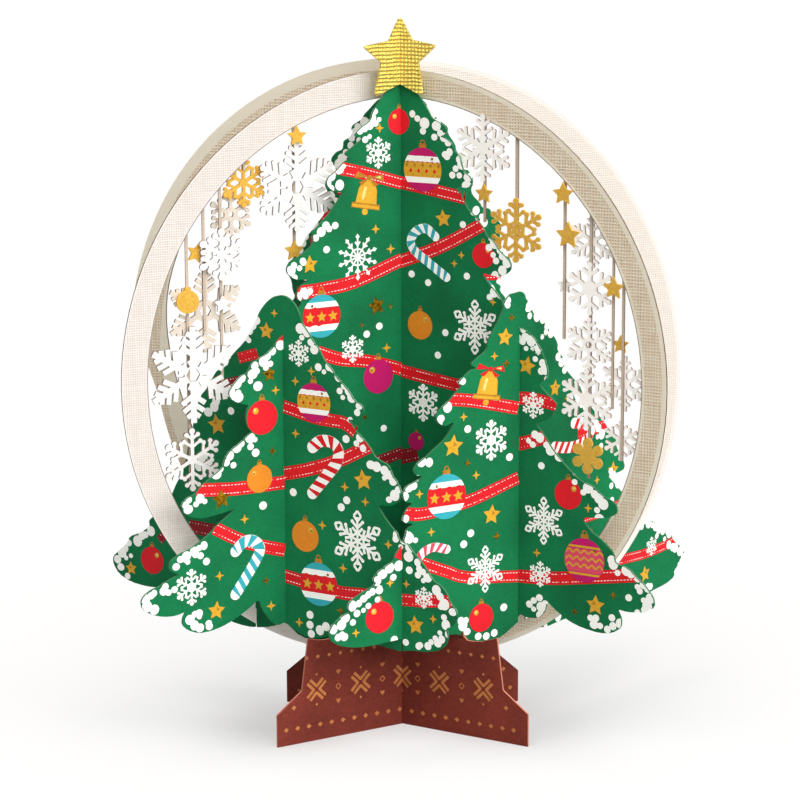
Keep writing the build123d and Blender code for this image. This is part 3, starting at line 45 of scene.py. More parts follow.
# sheet: origin, direction, card thickness (mm), outline (along, height)
OUT_RA = [[-0.88, 29.63], [-2.18, 29.13], [-3.2, 29.28], [-4.48, 30.17], [-5.61, 31.38], [-7.21, 33.55],
    [-8.03, 35.12], [-8.52, 36.92], [-9.39, 37.13], [-11.11, 35.84], [-12.8, 34.81], [-15.37, 33.47],
    [-17.22, 32.61], [-19.34, 31.78], [-21.01, 31.28], [-23.12, 30.84], [-24.77, 30.64], [-26.86,
    30.58], [-28.42, 30.85], [-30.28, 31.59], [-31.41, 32.29], [-32.42, 33.32], [-32.78, 34.17],
    [-32.68, 35.29], [-32.42, 36.07], [-31.86, 36.94], [-32.38, 37.12], [-34.24, 36.72], [-35.79,
    36.62], [-37.84, 36.78], [-39.45, 37.11], [-41.48, 37.79], [-42.83, 38.47], [-44.23, 39.51],
    [-44.89, 40.37], [-45.14, 41.54], [-45.05, 42.33], [-44.54, 43.2], [-43.85, 43.84], [-42.61, 44.59],
    [-41.56, 45.03], [-40.12, 45.39], [-38.83, 45.86], [-36.96, 46.73], [-35.58, 47.27], [-33.92,
    47.79], [-33.67, 48.15], [-34.69, 48.56], [-35.46, 49.04], [-36.38, 49.84], [-36.61, 50.59],
    [-36.26, 51.66], [-35.47, 52.44], [-33.8, 53.34], [-32.33, 53.95], [-30.26, 54.6], [-28.78, 55.22],
    [-27.11, 56.12], [-25.79, 56.9], [-24.1, 58.0], [-22.94, 58.88], [-21.67, 60.03], [-20.67, 60.79],
    [-19.4, 61.57], [-18.15, 62.4], [-16.24, 63.74], [-16.23, 64.11], [-18.13, 63.72], [-19.69, 63.44],
    [-21.79, 63.15], [-23.43, 62.96], [-25.51, 62.78], [-27.14, 62.92], [-29.2, 63.45], [-30.45, 64.02],
    [-31.59, 64.91], [-32.09, 65.79], [-32.22, 67.11], [-31.83, 67.95], [-30.71, 68.74], [-29.78,
    69.21], [-28.53, 69.61], [-27.63, 70.23], [-26.57, 71.41], [-25.66, 72.18], [-24.4, 72.96], [-23.5,
    73.51], [-22.45, 74.13], [-21.45, 74.75], [-19.98, 75.69], [-19.23, 76.63], [-18.78, 78.08],
    [-18.28, 79.05], [-17.42, 80.08], [-16.42, 80.84], [-14.73, 81.77], [-13.57, 82.52], [-12.29, 83.5],
    [-11.42, 84.11], [-10.49, 84.68], [-10.45, 85.26], [-11.27, 86.18], [-11.72, 87.08], [-12.04,
    88.42], [-12.09, 89.46], [-11.9, 90.75], [-11.62, 91.56], [-11.11, 92.32], [-11.4, 92.72], [-12.65,
    92.97], [-13.8, 93.33], [-15.46, 93.99], [-16.4, 94.75], [-17.13, 96.02], [-17.11, 96.93], [-16.34,
    97.96], [-15.54, 98.87], [-14.27, 100.16], [-13.27, 100.86], [-12.01, 101.36], [-11.18, 102.11],
    [-10.32, 103.51], [-9.48, 104.3], [-8.21, 104.92], [-7.18, 105.36], [-5.82, 105.86], [-4.82,
    106.42], [-3.63, 107.35], [-3.05, 107.97], [-2.79, 108.62], [-2.06, 109.4], [-0.48, 110.74], [1.26,
    112.79], [4.08, 116.68], [5.37, 118.44], [5.8, 119.03], [5.61, 119.63], [4.68, 120.58], [4.41,
    121.39], [4.65, 122.48], [5.03, 123.23], [5.75, 124.04], [6.53, 124.61], [7.82, 125.24], [7.94,
    125.55], [6.94, 125.68], [6.16, 125.74], [5.17, 125.78], [4.33, 125.98], [3.21, 126.44], [2.46,
    126.94], [1.68, 127.75], [1.37, 128.41], [1.38, 129.27], [1.65, 129.98], [2.31, 130.91], [3.18,
    131.47], [4.74, 131.96], [5.81, 132.46], [6.95, 133.24], [7.8, 133.8], [8.8, 134.46], [9.36, 135.1],
    [9.8, 136.06], [9.81, 136.88], [9.4, 138.03], [9.65, 138.78], [10.71, 139.57], [11.45, 140.2],
    [12.25, 141.0], [12.97, 141.63], [13.97, 142.42], [14.77, 143.19], [15.78, 144.36], [16.64, 145.37],
    [17.8, 146.77], [18.54, 147.74], [19.27, 148.8], [19.16, 149.15], [18.15, 148.97], [17.42, 149.02],
    [16.56, 149.33], [15.89, 149.71], [15.04, 150.38], [14.57, 150.9], [14.23, 151.54], [14.24, 152.12],
    [14.59, 152.96], [15.12, 153.53], [16.13, 154.16], [16.86, 154.64], [17.73, 155.25], [18.41,
    155.86], [19.28, 156.79], [20.1, 157.35], [21.35, 157.84], [21.57, 158.21], [20.92, 158.67], [20.51,
    159.01], [20.14, 159.4], [20.43, 159.82], [21.53, 160.49], [22.35, 161.02], [23.37, 161.7], [24.22,
    162.23], [25.38, 162.91], [25.71, 163.35], [25.13, 163.63], [23.98, 163.87], [23.49, 164.11],
    [23.41, 164.48], [23.86, 165.04], [25.11, 166.08], [26.06, 166.7], [27.22, 167.26], [27.9, 167.75],
    [28.49, 168.46], [28.77, 169.02], [28.92, 169.76], [29.38, 170.6], [30.41, 172.03], [31.18, 173.01],
    [32.11, 174.07], [33.15, 175.18], [34.85, 176.95], [36.1, 178.29], [37.6, 179.95], [38.45, 179.84],
    [39.12, 177.9], [39.66, 176.33], [40.35, 174.25], [41.1, 173.42], [42.31, 173.36], [43.42, 173.26],
    [45.02, 173.07], [46.09, 172.46], [47.21, 171.11], [48.03, 170.08], [48.99, 168.81], [49.94,
    167.86], [51.4, 166.7], [52.39, 165.95], [53.46, 165.21], [53.84, 164.55], [53.74, 163.6], [54.28,
    162.5], [55.75, 160.64], [56.39, 159.48], [56.55, 158.38], [57.11, 157.49], [58.35, 156.32], [58.93,
    155.42], [59.16, 154.31], [59.9, 153.13], [61.55, 151.24], [62.23, 150.0], [62.33, 148.76], [62.21,
    148.01], [61.78, 147.35], [61.7, 146.7], [61.93, 145.72], [62.65, 144.75], [64.24, 143.26], [65.0,
    142.39], [65.33, 141.67], [66.09, 141.29], [67.68, 141.04], [68.37, 140.5], [68.5, 139.38], [69.19,
    138.51], [70.79, 137.42], [71.59, 136.6], [71.99, 135.59], [72.0, 134.66], [71.6, 133.29], [71.55,
    132.2], [71.83, 130.78], [72.49, 129.52], [73.91, 127.72], [74.76, 126.44], [75.51, 124.98], [75.65,
    123.86], [75.25, 122.49], [74.3, 121.79], [72.29, 121.4], [71.16, 120.89], [70.33, 119.97], [70.44,
    119.36], [71.55, 118.7], [71.88, 118.12], [71.61, 117.3], [72.04, 116.43], [73.4, 115.04], [73.82,
    113.31], [73.56, 110.27], [74.41, 108.13], [76.83, 105.71], [78.49, 103.81], [80.3, 101.39], [81.49,
    99.25], [82.7, 96.23], [82.82, 93.97], [81.91, 91.25], [79.77, 89.94], [75.24, 89.34], [74.94,
    87.08], [78.72, 81.94], [81.57, 77.9], [85.05, 72.76], [87.49, 68.96], [90.21, 64.42], [91.51,
    61.45], [92.12, 58.43], [91.52, 56.41], [89.41, 54.29], [86.44, 53.58], [80.99, 53.88], [80.04,
    52.57], [83.07, 48.95], [85.8, 45.98], [89.73, 42.04], [91.87, 39.19], [93.38, 35.87], [93.38,
    33.61], [91.87, 31.19], [89.43, 29.88], [84.75, 28.98], [80.83, 28.74], [75.53, 29.04], [72.51,
    29.93], [70.09, 31.9], [66.05, 32.67], [58.18, 32.67], [54.03, 31.66], [51.31, 29.09], [48.93,
    27.13], [45.6, 24.71], [42.99, 23.76], [39.66, 23.76], [36.57, 23.64], [32.04, 23.34], [28.77,
    22.74], [24.99, 21.54], [22.56, 20.82], [20.14, 20.22], [18.06, 20.1], [15.18, 20.4], [13.34, 21.0],
    [11.52, 22.2], [9.49, 23.04], [6.17, 23.94], [3.71, 25.52], [0.79, 28.61]]
OUT_RB = [[-0.84, 31.75], [-2.32, 31.24], [-3.7, 31.12], [-5.71, 31.33], [-6.97, 31.91], [-8.16, 33.17],
    [-8.77, 34.31], [-9.11, 35.97], [-9.95, 36.09], [-11.73, 34.74], [-13.31, 33.71], [-15.52, 32.43],
    [-17.26, 31.66], [-19.47, 30.98], [-21.54, 30.55], [-24.6, 30.12], [-26.65, 30.08], [-28.82, 30.4],
    [-30.26, 30.92], [-31.76, 31.94], [-32.39, 32.92], [-32.5, 34.4], [-32.23, 35.56], [-31.44, 37.02],
    [-31.8, 37.5], [-33.53, 37.23], [-35.38, 37.26], [-38.37, 37.62], [-40.21, 38.16], [-41.9, 39.18],
    [-42.47, 40.19], [-42.23, 41.73], [-41.54, 43.01], [-40.03, 44.76], [-39.01, 45.7], [-37.93, 46.33],
    [-36.75, 47.25], [-34.8, 48.95], [-33.22, 49.74], [-31.16, 50.05], [-30.27, 50.78], [-30.08, 52.32],
    [-29.52, 53.41], [-28.3, 54.62], [-27.31, 55.46], [-26.0, 56.4], [-24.89, 57.1], [-23.36, 57.97],
    [-22.07, 59.1], [-20.31, 61.12], [-20.9, 62.01], [-24.15, 62.26], [-26.13, 62.51], [-27.94, 62.89],
    [-29.12, 63.3], [-30.31, 63.96], [-30.74, 64.75], [-30.63, 66.1], [-30.25, 66.87], [-29.39, 67.46],
    [-28.4, 67.88], [-26.76, 68.34], [-25.61, 69.0], [-24.3, 70.21], [-22.85, 70.96], [-20.46, 71.66],
    [-18.57, 72.67], [-16.16, 74.54], [-14.34, 76.1], [-12.14, 78.21], [-10.75, 79.72], [-9.42, 81.45],
    [-8.51, 82.66], [-7.53, 84.01], [-6.66, 84.99], [-5.42, 86.15], [-5.62, 86.79], [-7.38, 87.25],
    [-8.55, 87.72], [-9.77, 88.43], [-10.45, 89.19], [-10.97, 90.42], [-11.43, 91.2], [-12.07, 91.97],
    [-11.9, 92.64], [-10.8, 93.58], [-9.85, 94.36], [-8.52, 95.39], [-7.57, 96.26], [-6.46, 97.44],
    [-6.56, 98.14], [-7.92, 98.74], [-8.55, 99.6], [-8.8, 101.18], [-8.69, 102.39], [-8.15, 103.89],
    [-7.76, 104.92], [-7.32, 106.04], [-6.88, 106.84], [-6.22, 107.75], [-5.7, 108.54], [-5.03, 109.65],
    [-4.25, 110.49], [-2.92, 111.54], [-1.88, 112.13], [-0.56, 112.6], [0.17, 113.13], [0.71, 114.01],
    [1.69, 115.11], [3.66, 117.02], [4.67, 118.12], [5.29, 119.01], [5.9, 119.86], [6.83, 121.14], [7.8,
    122.22], [9.35, 123.72], [10.45, 124.9], [11.69, 126.42], [11.69, 126.95], [10.46, 126.78], [9.36,
    126.65], [7.82, 126.5], [6.73, 126.53], [5.5, 126.76], [4.56, 127.15], [3.4, 127.91], [2.9, 128.64],
    [2.78, 129.72], [3.0, 130.44], [3.68, 131.19], [4.55, 131.96], [6.09, 133.19], [7.06, 134.17],
    [7.98, 135.44], [8.83, 136.23], [10.07, 136.94], [10.74, 137.68], [11.2, 138.86], [11.81, 139.76],
    [12.9, 140.9], [13.57, 141.64], [14.19, 142.4], [14.86, 143.04], [15.94, 143.91], [16.49, 144.43],
    [16.8, 144.9], [17.29, 145.65], [18.23, 147.12], [19.08, 148.3], [20.33, 149.83], [20.27, 150.39],
    [18.87, 150.26], [17.89, 150.21], [16.81, 150.22], [16.14, 150.51], [15.52, 151.21], [15.36,
    151.85], [15.58, 152.77], [16.13, 153.42], [17.31, 154.15], [17.99, 155.0], [18.55, 156.44], [18.8,
    157.32], [18.86, 158.12], [19.31, 158.77], [20.4, 159.65], [20.95, 160.4], [21.26, 161.45], [21.81,
    162.16], [22.9, 162.9], [23.8, 163.36], [24.98, 163.78], [25.13, 164.03], [24.32, 164.26], [23.85,
    164.62], [23.48, 165.31], [23.51, 165.88], [23.98, 166.66], [24.72, 167.2], [26.12, 167.79], [26.98,
    168.17], [27.76, 168.53], [28.44, 169.29], [29.38, 170.85], [30.18, 172.07], [31.27, 173.62],
    [32.44, 174.93], [34.33, 176.72], [35.83, 178.13], [37.75, 179.92], [38.75, 179.91], [39.39,
    178.08], [39.89, 176.61], [40.55, 174.7], [41.36, 173.91], [42.77, 173.8], [43.79, 173.64], [44.97,
    173.33], [45.79, 172.91], [46.68, 172.12], [47.39, 171.45], [48.28, 170.54], [48.99, 169.87],
    [49.88, 169.08], [50.38, 168.46], [50.74, 167.7], [51.57, 167.02], [53.31, 166.05], [54.14, 165.42],
    [54.5, 164.78], [54.48, 164.3], [54.06, 163.75], [54.16, 163.22], [54.83, 162.43], [55.57, 161.86],
    [56.77, 161.19], [57.25, 160.7], [57.26, 160.12], [57.32, 159.59], [57.48, 158.83], [58.01, 158.35],
    [59.23, 157.91], [60.06, 157.33], [60.98, 156.32], [61.34, 155.65], [61.35, 154.97], [61.06,
    154.47], [60.3, 153.88], [59.95, 153.35], [59.81, 152.6], [60.41, 151.86], [62.09, 150.75], [62.97,
    149.9], [63.53, 148.85], [63.59, 148.09], [63.21, 147.23], [62.82, 146.6], [62.22, 145.87], [62.16,
    145.27], [62.63, 144.48], [63.03, 143.8], [63.59, 142.87], [63.74, 142.11], [63.57, 141.1], [63.72,
    140.34], [64.28, 139.41], [64.96, 138.56], [66.13, 137.32], [66.99, 136.36], [67.98, 135.13],
    [68.74, 134.27], [69.68, 133.31], [70.35, 132.4], [71.14, 131.05], [71.76, 130.1], [72.54, 129.01],
    [73.35, 128.03], [74.61, 126.64], [75.47, 125.56], [76.43, 124.19], [76.74, 123.25], [76.6, 122.22],
    [76.27, 121.33], [75.57, 120.08], [75.25, 119.08], [75.14, 117.79], [74.89, 116.84], [74.34,
    115.71], [74.4, 114.94], [75.1, 114.1], [75.32, 113.47], [75.21, 112.69], [74.79, 111.66], [73.83,
    109.81], [74.41, 108.13], [76.83, 105.71], [78.49, 103.81], [80.3, 101.39], [81.49, 99.25], [82.7,
    96.23], [82.82, 93.97], [81.91, 91.25], [79.77, 89.94], [75.24, 89.34], [74.94, 87.08], [78.72,
    81.94], [81.57, 77.9], [85.05, 72.76], [87.49, 68.96], [90.21, 64.42], [91.51, 61.45], [92.12,
    58.43], [91.52, 56.41], [89.41, 54.29], [86.44, 53.58], [80.99, 53.88], [80.04, 52.57], [83.07,
    48.95], [85.8, 45.98], [89.73, 42.04], [91.87, 39.19], [93.38, 35.87], [93.38, 33.61], [91.87,
    31.19], [89.43, 29.88], [84.75, 28.98], [80.83, 28.74], [75.53, 29.04], [72.51, 29.93], [70.09,
    31.9], [66.05, 32.67], [58.18, 32.67], [54.03, 31.66], [51.31, 29.09], [48.93, 27.13], [45.6,
    24.71], [42.99, 23.76], [39.66, 23.76], [36.57, 23.64], [32.04, 23.34], [28.77, 22.74], [24.99,
    21.54], [22.56, 20.82], [20.14, 20.22], [18.06, 20.1], [15.18, 20.4], [13.34, 21.0], [11.52, 22.2],
    [9.49, 23.04], [6.17, 23.94], [3.74, 25.98], [0.87, 30.27]]
OUT_FB = [[38.17, 121.92], [36.84, 121.66], [35.8, 121.16], [34.48, 120.16], [33.68, 119.21], [32.94,
    117.78], [32.49, 116.66], [32.06, 115.21], [31.42, 114.1], [30.2, 112.72], [29.46, 111.77], [28.81,
    110.71], [28.13, 109.9], [27.04, 108.88], [26.36, 108.07], [25.71, 107.02], [25.2, 106.19], [24.55,
    105.14], [23.79, 104.26], [22.49, 103.09], [21.77, 102.28], [21.25, 101.4], [20.57, 100.67], [19.36,
    99.67], [18.38, 98.82], [17.08, 97.65], [16.27, 96.71], [15.49, 95.5], [14.65, 94.78], [13.26,
    94.18], [12.5, 93.6], [11.95, 92.74], [11.87, 92.02], [12.22, 91.05], [12.87, 90.47], [14.17,
    89.96], [15.25, 89.75], [16.69, 89.71], [16.78, 89.19], [15.57, 87.9], [14.72, 86.95], [13.77,
    85.83], [13.01, 85.14], [12.02, 84.5], [11.2, 83.8], [10.13, 82.65], [9.37, 81.69], [8.52, 80.37],
    [7.2, 79.5], [4.71, 78.59], [3.61, 77.7], [3.32, 76.32], [2.75, 75.32], [1.6, 74.15], [0.88, 73.07],
    [0.2, 71.48], [0.16, 70.32], [0.72, 68.95], [1.53, 68.12], [3.04, 67.37], [4.31, 67.07], [6.03,
    67.05], [6.88, 66.91], [7.31, 66.6], [7.11, 65.96], [6.17, 64.66], [5.33, 63.61], [4.12, 62.27],
    [3.18, 61.33], [1.98, 60.28], [1.39, 59.48], [1.1, 58.47], [0.36, 57.83], [-1.23, 57.21], [-1.79,
    57.11], [-1.63, 57.46], [-1.89, 57.18], [-2.69, 56.11], [-3.51, 55.27], [-4.79, 54.2], [-5.87,
    53.19], [-7.34, 51.72], [-8.29, 50.5], [-9.26, 48.88], [-10.34, 47.96], [-12.1, 47.23], [-13.19,
    46.47], [-14.21, 45.25], [-14.76, 44.33], [-15.15, 43.22], [-15.71, 42.39], [-16.72, 41.36],
    [-17.24, 40.44], [-17.54, 39.13], [-17.37, 38.11], [-16.63, 36.83], [-15.81, 36.15], [-14.49,
    35.68], [-14.15, 34.94], [-14.59, 33.52], [-14.59, 32.4], [-14.15, 30.96], [-13.36, 30.0], [-11.81,
    28.98], [-10.33, 28.42], [-8.11, 28.0], [-6.18, 27.79], [-3.49, 27.65], [-1.87, 27.44], [-0.43,
    27.02], [1.11, 26.94], [3.61, 27.14], [5.96, 27.39], [9.45, 27.82], [12.56, 28.1], [16.97, 28.4],
    [19.75, 28.34], [22.42, 27.86], [24.18, 27.45], [25.97, 26.87], [27.56, 26.48], [29.81, 26.07],
    [31.76, 26.32], [34.46, 27.35], [36.23, 28.19], [38.03, 29.28], [39.64, 29.25], [41.94, 28.05],
    [44.29, 27.33], [47.98, 26.67], [50.52, 26.45], [53.3, 26.55], [55.86, 26.88], [59.58, 27.59],
    [62.52, 28.13], [66.27, 28.78], [69.6, 29.7], [74.31, 31.41], [77.29, 32.4], [80.14, 33.19], [82.4,
    33.43], [85.3, 33.22], [87.77, 33.27], [91.16, 33.61], [93.45, 34.16], [95.86, 35.23], [97.22,
    36.23], [98.25, 37.7], [98.71, 38.74], [98.82, 39.93], [98.37, 40.86], [97.11, 42.03], [95.87,
    43.13], [93.97, 44.78], [93.08, 45.84], [92.71, 46.88], [91.7, 47.64], [89.49, 48.52], [87.86,
    49.35], [85.9, 50.59], [85.21, 51.46], [85.43, 52.42], [85.22, 53.07], [84.48, 53.75], [83.43,
    54.51], [81.48, 55.74], [80.14, 56.91], [78.67, 58.66], [77.79, 60.0], [77.04, 61.66], [76.45,
    62.89], [75.71, 64.35], [74.93, 65.67], [73.71, 67.57], [72.93, 69.27], [72.17, 71.69], [71.66,
    73.58], [71.14, 75.97], [70.52, 77.56], [69.45, 79.23], [69.09, 80.48], [69.24, 82.01], [69.1,
    83.54], [68.58, 85.91], [67.96, 87.79], [66.88, 90.21], [65.9, 91.74], [64.47, 93.23], [63.54,
    94.45], [62.58, 96.07], [61.83, 97.24], [60.88, 98.59], [59.87, 99.36], [58.25, 99.98], [57.33,
    100.77], [56.62, 102.16], [55.88, 103.2], [54.72, 104.45], [53.71, 105.43], [52.32, 106.69], [51.23,
    107.9], [49.84, 109.72], [48.8, 111.29], [47.54, 113.47], [46.81, 114.86], [46.2, 116.22], [45.52,
    117.31], [44.37, 118.72], [43.39, 119.71], [42.03, 120.83], [40.88, 121.43], [39.31, 121.86]]
OUT_FA = [[-1.07, 30.46], [-3.57, 30.36], [-5.57, 30.25], [-8.14, 30.08], [-10.32, 30.06], [-13.3, 30.15],
    [-15.55, 30.42], [-18.3, 31.04], [-20.12, 31.69], [-22.0, 32.73], [-22.9, 33.68], [-23.31, 35.05],
    [-23.13, 36.12], [-22.28, 37.48], [-21.37, 38.37], [-19.89, 39.26], [-18.69, 39.79], [-17.13,
    40.22], [-16.71, 40.67], [-17.21, 41.38], [-17.28, 42.01], [-16.93, 42.89], [-16.18, 43.58],
    [-14.61, 44.47], [-13.41, 45.03], [-11.92, 45.56], [-10.67, 46.08], [-8.96, 46.88], [-8.54, 47.41],
    [-9.17, 47.95], [-9.25, 48.5], [-8.82, 49.38], [-7.9, 50.13], [-5.97, 51.16], [-4.71, 51.79],
    [-3.42, 52.36], [-2.83, 52.94], [-2.61, 53.85], [-1.97, 54.79], [-0.55, 56.27], [0.25, 57.4], [0.86,
    58.79], [1.16, 59.7], [1.3, 60.66], [1.88, 61.27], [3.23, 61.87], [2.97, 62.29], [0.95, 62.75],
    [0.19, 63.38], [0.29, 64.54], [0.55, 65.34], [1.14, 66.24], [1.81, 66.88], [2.93, 67.63], [2.81,
    68.06], [1.38, 68.4], [0.64, 69.05], [0.2, 70.39], [0.33, 71.33], [1.09, 72.4], [2.09, 73.03],
    [3.89, 73.59], [5.03, 74.05], [6.16, 74.69], [6.07, 75.08], [4.73, 75.44], [4.02, 75.88], [3.58,
    76.63], [3.67, 77.26], [4.34, 78.1], [5.22, 78.79], [6.8, 79.68], [7.95, 80.43], [9.3, 81.43],
    [10.54, 82.27], [12.35, 83.42], [13.51, 84.35], [14.64, 85.58], [15.44, 86.71], [16.35, 88.35],
    [16.05, 88.75], [14.37, 88.13], [13.25, 88.15], [12.07, 88.82], [11.36, 89.57], [10.73, 90.8],
    [10.88, 91.64], [11.87, 92.58], [12.7, 93.2], [13.83, 93.85], [14.9, 94.69], [16.49, 96.18], [17.56,
    97.13], [18.69, 98.05], [18.87, 98.63], [18.19, 99.16], [18.28, 99.68], [19.18, 100.48], [20.08,
    101.19], [21.44, 102.21], [22.43, 102.67], [23.57, 102.82], [23.53, 103.16], [22.3, 103.87], [22.39,
    104.51], [23.85, 105.45], [25.05, 106.21], [26.65, 107.21], [27.37, 108.17], [27.59, 109.62], [28.0,
    110.68], [28.83, 111.91], [29.51, 112.94], [30.42, 114.32], [31.18, 115.59], [32.18, 117.43],
    [32.67, 118.6], [32.89, 119.74], [33.34, 120.61], [34.26, 121.68], [35.07, 122.29], [38.356,
    122.75], [38.356, 102.64], [38.356, 50.91], [38.356, 29.7], [34.87, 27.43], [32.91, 26.37], [30.55,
    25.92], [28.53, 25.73], [25.72, 25.68], [23.61, 26.07], [21.05, 27.11], [19.68, 27.84], [18.75,
    28.67], [17.39, 29.07], [14.85, 29.26], [12.42, 29.24], [8.76, 29.01], [5.69, 29.27], [1.55, 30.15]]
OUT_BT = [[0.0, 122.75], [0.9, 122.45], [1.84, 121.79], [2.29, 120.57], [3.16, 119.7], [4.94, 118.7], [5.79,
    117.82], [6.18, 116.6], [7.2, 115.63], [9.38, 114.37], [10.49, 113.38], [11.14, 112.11], [11.91,
    111.24], [13.21, 110.28], [14.44, 109.11], [16.28, 107.08], [16.95, 105.79], [16.84, 104.54],
    [17.42, 103.52], [19.0, 102.19], [19.68, 101.11], [19.83, 99.7], [20.62, 98.45], [22.48, 96.71],
    [24.13, 95.29], [26.47, 93.41], [27.8, 91.99], [28.82, 90.22], [30.3, 88.41], [33.03, 85.56],
    [35.18, 83.63], [37.92, 81.56], [39.55, 80.1], [40.94, 78.45], [42.45, 77.16], [44.89, 75.53],
    [45.72, 74.26], [45.41, 72.66], [46.06, 71.17], [48.05, 68.97], [49.11, 67.37], [49.85, 65.5],
    [49.37, 64.61], [47.44, 64.19], [45.45, 64.13], [42.35, 64.38], [42.09, 63.61], [44.54, 61.39],
    [46.39, 59.8], [48.66, 57.94], [49.91, 56.56], [50.86, 54.93], [50.96, 53.84], [50.28, 52.71],
    [51.27, 51.79], [54.46, 50.57], [56.85, 49.38], [59.73, 47.58], [61.85, 46.69], [64.37, 46.22],
    [66.08, 45.39], [67.93, 43.77], [69.81, 42.74], [72.75, 41.76], [74.15, 40.73], [74.78, 39.1],
    [76.11, 37.75], [78.89, 35.91], [80.38, 34.52], [81.39, 32.81], [81.28, 31.72], [79.97, 30.68],
    [78.65, 30.01], [76.6, 29.33], [75.9, 28.62], [76.15, 27.49], [75.25, 26.74], [72.7, 25.96], [70.13,
    25.52], [66.15, 25.18], [62.76, 24.76], [58.12, 24.01], [54.08, 23.55], [48.45, 23.13], [43.52,
    23.04], [36.61, 23.26], [31.49, 23.86], [25.39, 25.17], [21.94, 25.66], [19.28, 25.62], [16.94,
    25.51], [13.64, 25.28], [11.11, 25.45], [7.97, 26.14], [6.6, 26.5], [5.9, 27.2], [5.6, 30.9], [3.46,
    31.9], [0.0, 33.3], [0.0, 50.92], [0.0, 102.74]]
OUT_FOOT = [[-39.2, 0], [40.6, 0], [40.6, 9.2], [32.7, 14.85], [30.7, 29.4],
            [-30.7, 29.4], [-32.7, 14.85], [-39.2, 9.2]]
SHEETS = {
    "ra": ((-LAT_X, 0.0), D_A, 0.6, OUT_RA),
    "rb": ((LAT_X, 0.0), D_B, 0.6, OUT_RB),
    "fb": ((0.0, -LAT_Y), D_B, 0.6, OUT_FB),
    "fa": ((0.0, -LAT_Y), D_A, 0.6, OUT_FA),
    "bt": ((LAT_X, 0.0), D_BENT, 0.6, OUT_BT),
    "fl": ((0.0, 0.0), (-math.sin(FA), -math.cos(FA)), 0.6, OUT_FOOT),
    "fr": ((0.0, 0.0), (math.sin(FA), -math.cos(FA)), 0.6, OUT_FOOT),
}
